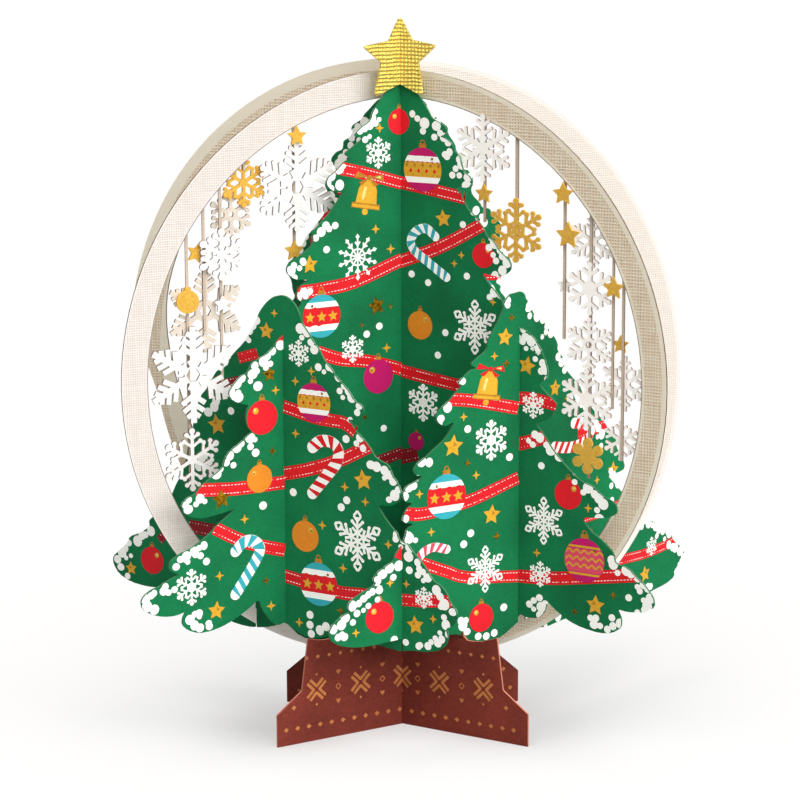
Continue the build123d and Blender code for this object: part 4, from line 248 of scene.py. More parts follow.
MOTIFS = {
    "ra": [
        ["b_red", 37.66, 167.37, 3.6],
        ["spark", 31.29, 165.9, 1.43],
        ["spark", 29.83, 137.93, 1.45],
        ["spark", 34.72, 132.06, 1.46],
        ["spark", 33.26, 104.17, 1.48],
        ["flake1", 30.83, 159.12, 4.43],
        ["ribbon", [[16.73, 156.02], [26.68, 153.59], [38.41, 150.19]], 3.59, "red"],
        ["bell", 26.96, 146.78, 5.68],
        ["flake2", 23.93, 130.56, 6.56],
        ["dot", 16.74, 139.91, 1.08],
        ["dot", 13.93, 133.47, 1.08],
        ["dot", 26.71, 108.66, 1.1],
        ["dot", 30.86, 110.54, 1.1],
        ["gstar", 8.5, 129.69, 2.66],
        ["ribbon", [[3.66, 122.09], [13.54, 122.63], [23.23, 123.9], [38.33, 128.7]], 3.9, "red"],
        ["b_stripe", 12.18, 115.07, 6.03],
        ["fstar", 30.03, 116.41, 2.83],
        ["flake1", 22.11, 104.91, 3.96],
        ["fspark", 34.64, 115.86, 0.99],
        ["ribbon", [[10.8, 105.12], [18.19, 102.42], [27.97, 100.73], [38.21, 97.56]], 3.67, "red"],
        ["b_mag0", 30.48, 96.29, 4.84],
        ["fspark", 25.09, 111.36, 0.85],
        ["ribbon", [[29.45, 71.78], [38.46, 73.6]], 3.35, "dark"],
        ["dot", 32.15, 81.26, 1.04],
        ["fspark", 25.9, 85.12, 1.03],
        ["snow", [[29.7, 170.39], [27.09, 166.68], [24.49, 164.62]]],
        ["snow", [[17.36, 155.15], [14.78, 152.57], [15.72, 150.03], [18.61, 151.22]]],
        ["snow", [[13.08, 140.84], [11.14, 138.22], [9.21, 135.88]]],
        ["snow", [[5.34, 130.67], [2.47, 128.69], [4.65, 126.02]]],
        ["snow", [[5.88, 122.32], [4.59, 121.04]]],
        ["snow", [[4.64, 124.64], [5.57, 123.45]]],
        ["spark", -2.69, 95.85, 1.4],
        ["spark", -12.97, 60.82, 1.41],
        ["spark", -21.05, 45.91, 1.42],
        ["fspark", -3.93, 78.93, 1.26],
        ["fspark", -6.5, 42.47, 1.28],
        ["spark", -4.92, 35.01, 1.58],
        ["fstar", -4.61, 100.52, 2.22],
        ["b_red", -7.04, 88.72, 4.8],
        ["dot", -9.23, 79.08, 1.23],
        ["dot", -7.12, 63.93, 1.25],
        ["dot", -28.37, 53.03, 1.12],
        ["dot", -25.07, 50.55, 1.12],
        ["dot", -31.34, 52.09, 1.12],
        ["dot", -27.58, 36.33, 1.13],
        ["dot", -24.51, 32.12, 1.13],
        ["ribbon", [[-27.71, 70.84], [-21.86, 70.25], [-14.08, 69.7], [-0.01, 69.64]], 3.78, "red"],
        ["b_orange", -8.08, 71.65, 3.95],
        ["fstar", -20.14, 67.43, 2.93],
        ["ribbon", [[-22.36, 59.52], [-14.32, 55.06], [-7.41, 52.42], [-0.26, 50.3]], 3.67, "red"],
        ["cane", -12.22, 48.53, 0.28, "teal", [[-16.14, 39.98], [-11.63, 45.88], [-8.71, 50.32], [-8.52, 52.57], [-10.55, 54.41], [-13.39, 54.37], [-15.94, 52.16]], 3.27],
        ["flake1", -29.78, 43.94, 5.2],
        ["gstar", -22.19, 36.21, 2.72],
        ["spark", -9.37, 48.7, 1.14],
        ["redtip", [[0.69, 111.96], [-2.82, 109.24], [0.63, 107.24]]],
        ["snow", [[-0.95, 107.94], [-6.02, 105.39], [-10.74, 103.09]]],
        ["snow", [[-10.77, 101.43], [-15.47, 98.86], [-17.07, 96.26], [-13.37, 94.76]]],
        ["snow", [[-8.32, 97.56], [-9.86, 99.67]]],
        ["snow", [[-11.67, 83.7], [-16.41, 79.79], [-19.25, 77.33], [-22.12, 72.93]]],
        ["snow", [[-27.44, 68.86], [-31.46, 67.7], [-29.68, 64.68]]],
        ["snow", [[-25.85, 55.49], [-31.75, 52.94], [-35.48, 50.65]]],
        ["snow", [[-37.43, 45.05], [-42.65, 43.01], [-44.51, 41.33], [-40.92, 39.11]]],
        ["snow", [[-27.45, 36.54], [-30.9, 34.22], [-28.15, 32.39], [-24.73, 32.15]]],
        ["snow", [[-10.85, 34.34], [-9.94, 31.62], [-4.55, 29.36]]]],
    "rb": [
        ["b_red_n", 38.92, 167.31, 3.6],
        ["b_mag", 31.0, 154.38, 6.12],
        ["dot", 30.88, 165.05, 1.02],
        ["dot", 27.19, 163.58, 1.02],
        ["dot", 23.78, 158.97, 1.02],
        ["dot", 21.4, 153.42, 1.02],
        ["dot", 18.02, 139.97, 1.02],
        ["dot", 34.67, 124.94, 1.05],
        ["dot", 29.26, 122.92, 1.04],
        ["dot", 16.72, 125.72, 1.03],
        ["dot", 23.66, 109.29, 1.04],
        ["dot", 26.11, 102.7, 1.05],
        ["ribbon", [[38.63, 150.45], [28.83, 149.1], [17.23, 147.33]], 3.53, "red"],
        ["gstar", 24.33, 141.19, 2.59],
        ["cane", 28.86, 131.51, 0.28, "teal", [[23.33, 124.93], [28.86, 128.43], [33.6, 131.59], [34.9, 134.31], [33.09, 137.1], [29.82, 138.02], [26.9, 135.99]], 2.66],
        ["ribbon", [[38.72, 128.11], [25.6, 133.15], [11.48, 140.53]], 3.69, "red"],
        ["b_red", 11.48, 131.87, 3.46],
        ["spark", 18.49, 131.44, 1.17],
        ["spark", 20.75, 128.93, 1.17],
        ["spark", 8.39, 119.15, 1.17],
        ["b_orange", 31.91, 110.68, 4.03],
        ["flake3", 14.12, 111.68, 7.56],
        ["ribbon", [[39.83, 97.4], [28.91, 95.89], [18.45, 94.64]], 3.62, "red"],
        ["flake1", 30.96, 88.68, 5.43],
        ["ribbon", [[39.94, 71.69], [32.92, 73.93]], 3.95, "dark"],
        ["b_mag0", 33.24, 77.36, 2.6],
        ["snow", [[33.99, 169.59], [30.75, 166.99]]],
        ["snow", [[26.55, 166.64], [23.01, 162.97], [21.72, 159.19]]],
        ["snow", [[19.48, 157.66], [16.28, 152.9], [17.87, 148.94]]],
        ["snow", [[14.67, 145.56], [10.85, 143.33]]],
        ["snow", [[8.92, 136.84], [4.15, 130.02], [8.25, 126.38]]],
        ["snow", [[7.29, 122.57], [4.42, 120.03]]],
        ["gstar", -2.46, 102.43, 2.79],
        ["flake1", -5.97, 108.46, 2.76],
        ["dot", -6.96, 101.33, 1.06],
        ["dot", -7.22, 74.92, 1.07],
        ["dot", -34.7, 41.28, 1.07],
        ["dot", -3.68, 35.1, 1.09],
        ["dot", -6.86, 37.36, 1.09],
        ["dot", -29.62, 34.91, 1.07],
        ["ribbon", [[0.64, 93.18], [-4.88, 93.32], [-11.78, 92.36]], 3.53, "red"],
        ["flake1", -4.52, 91.61, 3.77],
        ["ribbon", [[0.89, 79.93], [-4.96, 81.84], [-10.6, 84.14]], 3.69, "red"],
        ["b_red", -15.68, 67.82, 4.2],
        ["spark", -21.93, 64.73, 1.29],
        ["spark", -5.97, 50.11, 1.31],
        ["fspark", -29.94, 41.31, 1.18],
        ["fspark", -18.09, 35.01, 1.2],
        ["flake3", -8.06, 59.48, 6.65],
        ["b_zig", -20.91, 49.96, 6.2],
        ["ribbon", [[0.69, 42.63], [-9.98, 43.37], [-22.52, 45.37], [-39.09, 48.2]], 3.76, "red"],
        ["flake1", -7.06, 44.17, 3.72],
        ["gstar", -24.47, 37.71, 2.97],
        ["snow", [[0.6, 114.25], [-2.57, 110.37], [-6.04, 106.8]]],
        ["snow", [[-7.95, 103.37], [-9.86, 98.84], [-11.43, 96.77]]],
        ["snow", [[-12.73, 90.51], [-11.51, 87.03]]],
        ["snow", [[-5.26, 83.56], [-11.58, 79.21], [-14.73, 76.76]]],
        ["snow", [[-18.48, 74.96], [-24.73, 68.71], [-27.25, 64.27]]],
        ["snow", [[-25.43, 61.8], [-29.78, 58.16]]],
        ["snow", [[-29.26, 51.08], [-36.66, 47.31], [-41.9, 42.72], [-39.84, 38.5], [-35.6, 35.92]]],
        ["snow", [[-34.4, 34.33], [-29.5, 31.92], [-23.29, 32.14]]],
        ["snow", [[-8.46, 36.01], [-7.2, 33.82], [-7.21, 31.81]]]],
    "fb": [
        ["flake1", 32.94, 106.41, 3.74],
        ["spark", 28.85, 101.8, 1.38],
        ["spark", 34.17, 98.5, 1.4],
        ["spark", 34.25, 83.85, 1.41],
        ["spark", 18.18, 70.68, 1.4],
        ["spark", 11.55, 67.31, 1.39],
        ["spark", 25.68, 59.01, 1.42],
        ["spark", 4.19, 56.32, 1.39],
        ["spark", 18.93, 47.72, 1.42],
        ["spark", 33.67, 30.22, 1.45],
        ["fspark", 19.83, 35.55, 1.43],
        ["b_mag", 28.12, 93.17, 5.42],
        ["ribbon", [[38.25, 91.09], [28.0, 89.08], [23.08, 88.77], [18.2, 88.45], [14.65, 86.34]], 3.68, "red"],
        ["dot", 17.68, 84.12, 1.17],
        ["dot", 35.22, 67.18, 1.19],
        ["dot", 17.59, 67.05, 1.18],
        ["dot", 19.41, 64.87, 1.18],
        ["dot", 30.05, 32.91, 1.21],
        ["dot", 30.08, 30.03, 1.21],
        ["dot", 29.67, 27.5, 1.21],
        ["dot", 26.54, 103.13, 1.16],
        ["cane", 24.19, 76.08, 0.28, "red", [[28.9, 67.65], [24.55, 72.67], [20.9, 77.02], [20.22, 80.72], [22.49, 82.7], [26.1, 82.58], [28.75, 80.61]], 3.36],
        ["ribbon", [[38.51, 72.03], [29.82, 74.31], [19.92, 77.97], [10.15, 82.95]], 3.72, "red"],
        ["gstar", 12.25, 73.28, 3.06],
        ["b_orange", 31.36, 55.17, 4.4],
        ["flake3", 14.16, 56.03, 8.43],
        ["b_stripe", 27.08, 42.06, 6.18],
        ["ribbon", [[38.9, 43.02], [30.18, 41.92], [20.24, 40.73], [10.74, 41.21]], 3.76, "red"],
        ["snow", [[31.67, 114.0], [28.43, 109.87], [25.52, 107.09]]],
        ["snow", [[22.94, 103.75], [19.39, 101.05], [17.47, 98.21], [13.62, 93.91], [14.29, 91.35]]],
        ["snow", [[8.9, 78.39], [4.41, 76.96], [0.6, 72.16], [4.45, 68.37]]],
        ["snow", [[0.97, 60.19], [-3.16, 55.44]]],
        ["snow", [[26.65, 28.95], [23.97, 31.35]]],
        ["snow", [[13.04, 85.13], [10.81, 81.77]]],
        ["spark", 40.89, 116.8, 1.25],
        ["gstar", 43.64, 111.61, 2.51],
        ["ribbon", [[53.2, 103.12], [46.75, 105.12]], 3.01, "red"],
        ["ribbon", [[63.29, 94.22], [52.97, 96.93]], 2.49, "dark"],
        ["ribbon", [[71.11, 52.97], [62.03, 52.67]], 3.98, "dark"],
        ["gstar", 60.81, 83.52, 3.15],
        ["dot", 55.96, 87.93, 1.14],
        ["b_red", 84.51, 41.24, 4.01],
        ["gstar", 92.17, 37.84, 2.09],
        ["snow", [[46.94, 114.33], [50.71, 110.37], [53.47, 107.6]]],
        ["snow", [[84.66, 49.78], [89.75, 47.06], [93.07, 44.85], [96.81, 40.79], [95.46, 37.09]]],
        ["snow", [[61.64, 90.39], [64.87, 84.35]]],
        ["snow", [[65.42, 74.24], [68.65, 69.54]]],
        ["ribbon", [[81.85, 47.49], [74.6, 54.29]], 2.58, "dark"],
        ["dot", -2.51, 50.06, 1.12],
        ["spark", -1.54, 46.07, 1.23],
        ["ribbon", [[0.08, 41.45], [-7.26, 42.06], [-15.78, 43.27]], 3.39, "red"],
        ["flake1", -7.1, 43.02, 3.07],
        ["gstar", -4.38, 34.93, 2.81],
        ["spark", -10.04, 37.49, 1.23],
        ["snow", [[-2.52, 53.96], [-7.27, 50.43], [-10.75, 47.57]]],
        ["snow", [[-11.06, 45.66], [-14.84, 41.75], [-16.72, 38.96]]],
        ["snow", [[-14.84, 36.46], [-14.21, 33.02], [-11.37, 30.64]]],
        ["snow", [[-8.19, 29.74], [-4.36, 29.3]]],
        ["dot", -1.32, 29.69, 1.02]],
    "fa": [
        ["redtip", [[-0.34, 57.58], [-2.59, 53.71], [-0.36, 52.56]]],
        ["b_red", -7.45, 37.66, 4.42],
        ["spark", -4.09, 46.73, 1.33],
        ["spark", -14.98, 34.42, 1.34],
        ["dot", -7.54, 45.22, 1.17],
        ["dot", -18.6, 33.84, 1.17],
        ["dot", -2.85, 30.64, 1.18],
        ["dot", -1.09, 28.96, 1.18],
        ["snow", [[-1.64, 51.9], [-6.43, 49.79], [-8.98, 48.21]]],
        ["snow", [[-9.63, 44.96], [-14.7, 42.65], [-17.54, 40.57]]],
        ["snow", [[-18.18, 39.0], [-21.96, 36.24], [-19.8, 32.85]]],
        ["spark", 29.76, 105.7, 1.33],
        ["spark", 19.72, 89.9, 1.33],
        ["spark", 23.84, 73.18, 1.34],
        ["spark", 5.4, 70.17, 1.33],
        ["spark", 9.16, 59.14, 1.34],
        ["fspark", 35.39, 115.82, 1.27],
        ["fspark", 33.8, 103.35, 1.28],
        ["fspark", 20.98, 76.89, 1.28],
        ["fspark", 30.69, 55.13, 1.31],
        ["gstar", 33.21, 110.63, 2.63],
        ["bell2", 27.56, 96.77, 5.56],
        ["ribbon", [[14.84, 95.35], [23.63, 93.85], [37.69, 90.37]], 3.61, "red"],
        ["dot", 21.03, 86.42, 1.14],
        ["dot", 34.86, 76.97, 1.16],
        ["dot", 22.06, 57.08, 1.16],
        ["dot", 19.76, 54.29, 1.16],
        ["dot", 33.12, 34.43, 1.18],
        ["flake1", 28.76, 82.41, 5.74],
        ["gstar", 16.3, 82.18, 3.32],
        ["b_stripe", 14.13, 68.42, 6.3],
        ["ribbon", [[0.65, 65.23], [7.71, 64.59], [22.04, 66.38], [37.81, 70.76]], 3.63, "red"],
        ["gstar", 29.0, 61.4, 2.97],
        ["cane", 9.63, 53.14, 0.28, "pink", [[14.19, 53.64], [10.28, 54.73], [7.04, 54.05], [5.1, 52.36]], 2.52],
        ["ribbon", [[5.1, 51.24], [13.86, 47.48], [21.09, 44.75], [37.97, 42.64]], 3.39, "red"],
        ["flake3", 26.89, 46.26, 6.56],
        ["b_red", 25.6, 32.54, 4.02],
        ["snow", [[34.04, 121.61], [30.11, 118.65], [26.52, 114.85]]],
        ["snow", [[23.92, 110.69], [20.35, 106.08], [17.11, 100.9]]],
        ["snow", [[19.37, 103.98], [17.11, 100.63], [21.01, 99.12]]],
        ["snow", [[14.2, 92.94], [11.29, 88.84], [8.39, 86.41]]],
        ["snow", [[7.42, 84.87], [5.17, 80.16], [9.02, 78.6]]],
        ["snow", [[4.51, 74.71], [0.98, 70.72], [-1.27, 66.31], [2.24, 63.35]]],
        ["snow", [[-0.01, 60.31], [3.18, 56.26]]],
        ["snow", [[18.47, 32.33], [19.46, 29.33], [21.78, 27.54]]],
        ["dot", 24.61, 27.39, 1.15],
        ["dot", 27.28, 27.03, 1.15],
        ["dot", 29.96, 27.54, 1.15]],
    "bt": [
        ["cane", 24.4, 78.16, 0.29, "red", [[15.5, 76.75], [23.49, 75.42], [30.15, 76.06], [32.99, 78.51], [30.55, 81.22], [24.82, 82.13]], 3.18],
        ["ribbon", [[26.76, 78.93], [40.74, 79.02]], 3.38, "red"],
        ["gstar", 15.76, 93.55, 2.57],
        ["spark", 21.41, 89.85, 1.15],
        ["ribbon", [[47.44, 37.77], [61.08, 37.2], [76.08, 37.95]], 3.08, "red"],
        ["flake1", 63.86, 38.79, 2.9],
        ["gstar", 60.72, 30.94, 2.6],
        ["gstar", 43.93, 65.24, 2.67],
        ["dot", 37.92, 73.32, 1.03],
        ["dot", 43.61, 56.41, 1.04],
        ["spark", 36.14, 63.65, 1.33],
        ["ribbon", [[26.18, 53.72], [38.26, 53.84], [53.1, 54.7]], 3.14, "red"],
        ["b_red", 33.54, 44.97, 3.55],
        ["snow", [[4.5, 118.72], [10.01, 113.27], [14.67, 107.31]]],
        ["snow", [[17.51, 102.39], [21.31, 97.3]]],
        ["snow", [[25.65, 90.07], [30.97, 84.92]]],
        ["snow", [[33.9, 81.56], [39.33, 76.02]]],
        ["snow", [[42.95, 65.41], [47.03, 58.77]]],
        ["snow", [[58.28, 48.33], [66.55, 44.67], [73.93, 40.21]]],
        ["snow", [[72.96, 37.33], [79.35, 33.93], [81.07, 29.25], [75.29, 28.55]]],
        ["snow", [[63.9, 26.57], [58.78, 26.4]]],
        ["snow", [[17.97, 27.35], [16.1, 26.28]]],
        ["dot", 12.11, 25.68, 0.88],
        ["fspark", 12.79, 27.43, 0.88]],
    "fl": [
        ["nordic", 28.15, 14.61, 3.14],
        ["nordic", 13.95, 14.37, 3.17],
        ["hdia", 21.18, 14.4, 0.83],
        ["hdia", 6.85, 14.2, 0.84],
        ["heart", 21.15, 18.62, 0.86],
        ["heart", 6.83, 18.34, 0.87],
        ["heart", 21.22, 10.29, 0.86],
        ["heart", 6.87, 10.22, 0.87],
        ["dia", 35.42, 10.47, 0.71],
        ["dia", 37.9, 4.53, 0.71],
        ["dia", 34.31, 4.51, 0.72],
        ["dia", 30.7, 4.5, 0.72],
        ["dia", 27.07, 4.49, 0.72],
        ["dia", 23.43, 4.47, 0.72],
        ["dia", 19.76, 4.46, 0.72],
        ["dia", 16.08, 4.45, 0.72],
        ["dia", 12.39, 4.44, 0.72],
        ["dia", 8.67, 4.42, 0.73],
        ["dia", 4.94, 4.41, 0.73],
        ["dia", 1.18, 4.4, 0.73],
        ["dia", 31.23, 23.95, 0.6],
        ["dia", 27.65, 23.92, 0.6],
        ["dia", 24.06, 23.88, 0.6],
        ["dia", 20.44, 23.85, 0.6],
        ["dia", 16.81, 23.81, 0.6],
        ["dia", 13.16, 23.78, 0.6],
        ["dia", 9.49, 23.74, 0.6],
        ["dia", 5.8, 23.71, 0.6],
        ["dia", 2.1, 23.67, 0.61],
        ["nordic0", 0.0, 14.17, 3.2]],
    "fr": [
        ["nordic", 26.54, 14.18, 3.16],
        ["nordic", 12.33, 14.03, 3.18],
        ["hdia", 19.57, 14.02, 0.84],
        ["hdia", 5.23, 13.9, 0.84],
        ["heart", 19.56, 18.25, 0.86],
        ["heart", 5.24, 18.05, 0.87],
        ["heart", 19.57, 9.9, 0.87],
        ["heart", 5.22, 9.91, 0.87],
        ["dia", 33.78, 10.0, 0.71],
        ["dia", 36.21, 4.02, 0.72],
        ["dia", 32.62, 4.03, 0.72],
        ["dia", 29.01, 4.04, 0.72],
        ["dia", 25.38, 4.05, 0.72],
        ["dia", 21.74, 4.06, 0.72],
        ["dia", 18.07, 4.07, 0.72],
        ["dia", 14.39, 4.07, 0.73],
        ["dia", 10.69, 4.08, 0.73],
        ["dia", 6.97, 4.09, 0.73],
        ["dia", 3.24, 4.1, 0.73],
        ["dia", 29.69, 23.53, 0.6],
        ["dia", 26.11, 23.52, 0.6],
        ["dia", 22.51, 23.51, 0.6],
        ["dia", 18.89, 23.49, 0.6],
        ["dia", 15.26, 23.48, 0.6],
        ["dia", 11.61, 23.47, 0.6],
        ["dia", 7.94, 23.45, 0.61],
        ["dia", 4.25, 23.44, 0.61],
        ["nordic0", 0.0, 13.91, 3.21]],
}


# ----------------------------------------------------------------- materials
def lin(rgb):
    out = []
    for c in rgb:
        c = c / 255.0
        out.append(c / 12.92 if c <= 0.04045 else ((c + 0.055) / 1.055) ** 2.4)
    return (out[0], out[1], out[2], 1.0)


class Mat:
    """Small helper round a node tree."""

    def __init__(self, name, rough=0.8, metal=0.0, spec=0.3):
        self.m = bpy.data.materials.new(name)
        self.m.use_nodes = True
        self.t = self.m.node_tree
        self.n = self.t.nodes
        self.bsdf = self.n["Principled BSDF"]
        self.bsdf.inputs["Roughness"].default_value = rough
        self.bsdf.inputs["Metallic"].default_value = metal
        self.bsdf.inputs["Specular IOR Level"].default_value = spec
        self.tc = self.n.new("ShaderNodeTexCoord")
        self.geo = self.n.new("ShaderNodeNewGeometry")

    def link(self, a, b):
        self.t.links.new(a, b)

    def math(self, op, a, b=None, c=None):
        nd = self.n.new("ShaderNodeMath")
        nd.operation = op
        for i, v in enumerate((a, b, c)):
            if v is None:
                continue
            if isinstance(v, (int, float)):
                nd.inputs[i].default_value = v
            else:
                self.link(v, nd.inputs[i])
        return nd.outputs[0]

    def mix(self, fac, a, b, mode="MIX"):
        nd = self.n.new("ShaderNodeMix")
        nd.data_type = "RGBA"
        nd.blend_type = mode
        for sock, v in ((nd.inputs[0], fac), (nd.inputs[6], a), (nd.inputs[7], b)):
            if isinstance(v, (int, float)):
                sock.default_value = v
            elif isinstance(v, tuple):
                sock.default_value = v
            else:
                self.link(v, sock)
        return nd.outputs[2]

    def noise(self, scale, detail=4.0, rough=0.6, coords=None, stretch=None):
        nd = self.n.new("ShaderNodeTexNoise")
        nd.inputs["Scale"].default_value = scale
        nd.inputs["Detail"].default_value = detail
        nd.inputs["Roughness"].default_value = rough
        src = coords if coords is not None else self.tc.outputs["Object"]
        if stretch:
            mp = self.n.new("ShaderNodeMapping")
            mp.inputs["Scale"].default_value = stretch
            self.link(src, mp.inputs["Vector"])
            src = mp.outputs["Vector"]
        self.link(src, nd.inputs["Vector"])
        return nd.outputs["Fac"]

    def ramp(self, fac, lo, hi, a=0.0, b=1.0):
        nd = self.n.new("ShaderNodeMapRange")
        nd.clamp = True
        self.link(fac, nd.inputs["Value"])
        nd.inputs["From Min"].default_value = lo
        nd.inputs["From Max"].default_value = hi
        nd.inputs["To Min"].default_value = a
        nd.inputs["To Max"].default_value = b
        return nd.outputs["Result"]

    def bump(self, height, strength, dist=0.0001, prev=None):
        nd = self.n.new("ShaderNodeBump")
        nd.inputs["Strength"].default_value = strength
        nd.inputs["Distance"].default_value = dist
        self.link(height, nd.inputs["Height"])
        if prev is not None:
            self.link(prev, nd.inputs["Normal"])
        return nd.outputs["Normal"]

    def color(self, sock):
        self.link(sock, self.bsdf.inputs["Base Color"])

    def normal(self, sock):
        self.link(sock, self.bsdf.inputs["Normal"])

    def sep(self, vec):
        nd = self.n.new("ShaderNodeSeparateXYZ")
        self.link(vec, nd.inputs[0])
        return nd.outputs

    def facing(self, normals):
        """1 on the broad faces of a sheet, 0 on its cut edges."""
        best = None
        for nv in normals:
            dp = self.n.new("ShaderNodeVectorMath")
            dp.operation = "DOT_PRODUCT"
            self.link(self.geo.outputs["True Normal"], dp.inputs[0])
            dp.inputs[1].default_value = nv
            v = self.math("ABSOLUTE", dp.outputs["Value"])
            best = v if best is None else self.math("MAXIMUM", best, v)
        return self.math("GREATER_THAN", best, 0.93)


def card(name, face, edge, normals, grain=0.06, bump=0.25, rough=0.78, fibre=900.0,
         mottling=0.10, spec=0.25):
    """Uncoated card: fine fibres, slight cloud, bare cut edge."""
    m = Mat(name, rough=rough, spec=spec)
    f1 = m.noise(fibre, 5, 0.7, stretch=(1.0, 1.0, 2.2))
    f2 = m.noise(fibre * 2.7, 3, 0.6)
    cloud = m.noise(55.0, 3, 0.5)
    dark = tuple(c * (1 - mottling * 2.2) for c in face[:3]) + (1.0,)
    light = tuple(min(1.0, c * (1 + mottling * 2.2)) for c in face[:3]) + (1.0,)
    base = m.mix(m.ramp(cloud, 0.3, 0.7), dark, light)
    g = m.ramp(f1, 0.32, 0.68, 1 - grain * 2, 1 + grain * 2)
    mul = m.n.new("ShaderNodeVectorMath")
    mul.operation = "SCALE"
    m.link(base, mul.inputs[0])
    m.link(g, mul.inputs["Scale"])
    if normals:
        col = m.mix(m.facing(normals), edge, mul.outputs[0])
    else:
        col = mul.outputs[0]
    m.color(col)
    h = m.math("ADD", f1, m.math("MULTIPLY", f2, 0.5))
    m.normal(m.bump(h, bump, 0.00008))
    return m.m


def linen(name, face, dark, edge, normals, rims, rear, contrast=0.5, bump=0.5, pitch=0.00062,
          rear_painted_shade=0.0):
    """Board with a fine woven print: threads round the frame and across it."""
    m = Mat(name, rough=0.85, spec=0.2)
    o = m.sep(m.tc.outputs["Object"])
    x, y, z = o[0], o[1], o[2]
    yy = m.math("SUBTRACT", y, 0.0243)
    u = m.math("SQRT", m.math("ADD", m.math("MULTIPLY", x, x), m.math("MULTIPLY", yy, yy)))
    zz = m.math("SUBTRACT", z, 0.0979)
    wob = m.noise(260.0, 2, 0.5)
    wobz = m.math("MULTIPLY", m.math("SUBTRACT", wob, 0.5), 2.2)
    tu = m.math("SINE", m.math("ADD", m.math("MULTIPLY", u, 2 * math.pi / pitch), wobz))
    tz = m.math("SINE", m.math("ADD", m.math("MULTIPLY", zz, 2 * math.pi / pitch), wobz))
    weave = m.math("MAXIMUM", tu, tz)
    streak_u = m.noise(1.0, 2, 0.6, stretch=(2600.0, 2600.0, 90.0))
    streak_z = m.noise(1.0, 2, 0.6, stretch=(90.0, 90.0, 2600.0))
    st = m.math("ADD", streak_u, streak_z)
    fac = m.math("ADD", m.math("MULTIPLY", m.ramp(weave, -0.2, 1.0), 0.6),
                 m.ramp(st, 0.75, 1.25, 0.0, 0.5))
    # plain margins along both rims of the band, wider on the rear half
    r = m.math("SQRT", m.math("ADD", m.math("MULTIPLY", u, u), m.math("MULTIPLY", zz, zz)))
    behind = m.math("GREATER_THAN", yy, 0.0002)
    lo = m.math("ADD", rims[0] * MM, m.math("MULTIPLY", behind, (rear[0] - rims[0]) * MM))
    hi = m.math("ADD", rims[1] * MM, m.math("MULTIPLY", behind, (rear[1] - rims[1]) * MM))
    inner = m.math("GREATER_THAN", r, lo)
    outer = m.math("LESS_THAN", r, hi)
    inside = m.math("MULTIPLY", inner, outer)
    f = m.math("MULTIPLY", m.math("SUBTRACT", 1.0, m.math("MINIMUM", fac, 1.0)), inside)
    col = m.mix(m.math("MULTIPLY", f, contrast), face, dark)
    # painted shade: the rear half of the board is mixed toward grey-brown, darkening it
    if rear_painted_shade:
        col = m.mix(m.math("MULTIPLY", behind, rear_painted_shade), col, (0.58, 0.53, 0.46, 1))
    # thin dark brown line on the face along the inner rim, front half only
    inner_rim_line = m.math("MULTIPLY", m.math("LESS_THAN", r, 76.30 * MM), m.math("GREATER_THAN", r, 75.9 * MM))
    inner_rim_line = m.math("MULTIPLY", inner_rim_line, m.math("SUBTRACT", 1.0, behind))
    col = m.mix(m.math("MULTIPLY", inner_rim_line, 0.75), col, edge)
    if normals:
        col = m.mix(m.facing(normals), edge, col)
    m.color(col)
    # painted light: the lowest part of the board glows, standing in for light thrown back by the floor
    m.link(col, m.bsdf.inputs["Emission Color"])
    m.link(m.ramp(z, 0.018, 0.062, 0.30, 0.0), m.bsdf.inputs["Emission Strength"])
    fine = m.noise(1800.0, 3, 0.6)
    h = m.math("ADD", m.math("MULTIPLY", weave, m.math("ADD", 0.15, m.math("MULTIPLY", inside, 0.85))),
               m.math("MULTIPLY", fine, 0.6))
    m.normal(m.bump(h, bump, 0.00012))
    return m.m


def foil(name, base, rough=0.32, crinkle=600.0, bump=0.9, dark=None, metal=1.0, weave=0.0,
         lo=0.35, hi=0.62):
    """Metal foil on card: pressed grain, small creases, perhaps a woven emboss."""
    m = Mat(name, rough=rough, metal=metal, spec=0.5)
    n1 = m.noise(crinkle, 5, 0.75)
    h = n1
    fac = m.ramp(n1, lo, hi)
    if weave:
        o = m.sep(m.tc.outputs["Object"])
        wob = m.noise(190.0, 3, 0.6)
        wv = m.math("MULTIPLY", m.math("SUBTRACT", wob, 0.5), 5.0)
        ax = m.math("ABSOLUTE", o[0])
        tz = m.math("SINE", m.math("ADD", m.math("MULTIPLY", o[2], 2 * math.pi / 0.00105), wv))
        tx = m.math("SINE", m.math("ADD", m.math("MULTIPLY", ax, 2 * math.pi / 0.00098), wv))
        rows = m.math("ADD", m.math("MULTIPLY", tz, 0.7), m.math("MULTIPLY", tx, 0.45))
        h = m.math("ADD", m.math("MULTIPLY", rows, weave), n1)
        fac = m.ramp(m.math("ADD", m.math("MULTIPLY", rows, 0.16), n1), lo, hi)
    m.color(m.mix(fac, dark if dark else tuple(c * 0.55 for c in base[:3]) + (1.0,), base))
    m.link(m.ramp(n1, 0.3, 0.7, rough - 0.08, rough + 0.15), m.bsdf.inputs["Roughness"])
    m.normal(m.bump(h, bump, 0.0003))
    return m.m


def ink(name, rgb, rough=0.62, vary=0.07, spec=0.35, grain=900.0):
    """Printed ink on card: tiny density changes and the card's grain."""
    m = Mat(name, rough=rough, spec=spec)
    c = lin(rgb)
    a = tuple(v * (1 - vary * 2) for v in c[:3]) + (1.0,)
    b = tuple(min(1.0, v * (1 + vary * 2)) for v in c[:3]) + (1.0,)
    f = m.noise(grain, 5, 0.7, stretch=(1.0, 1.0, 2.2))
    cl = m.noise(140.0, 3, 0.6)
    fac = m.ramp(m.math("ADD", m.math("MULTIPLY", f, 0.6), m.math("MULTIPLY", cl, 0.4)), 0.36, 0.64)
    m.color(m.mix(fac, a, b))
    m.normal(m.bump(f, 0.22, 0.00008))
    return m.m


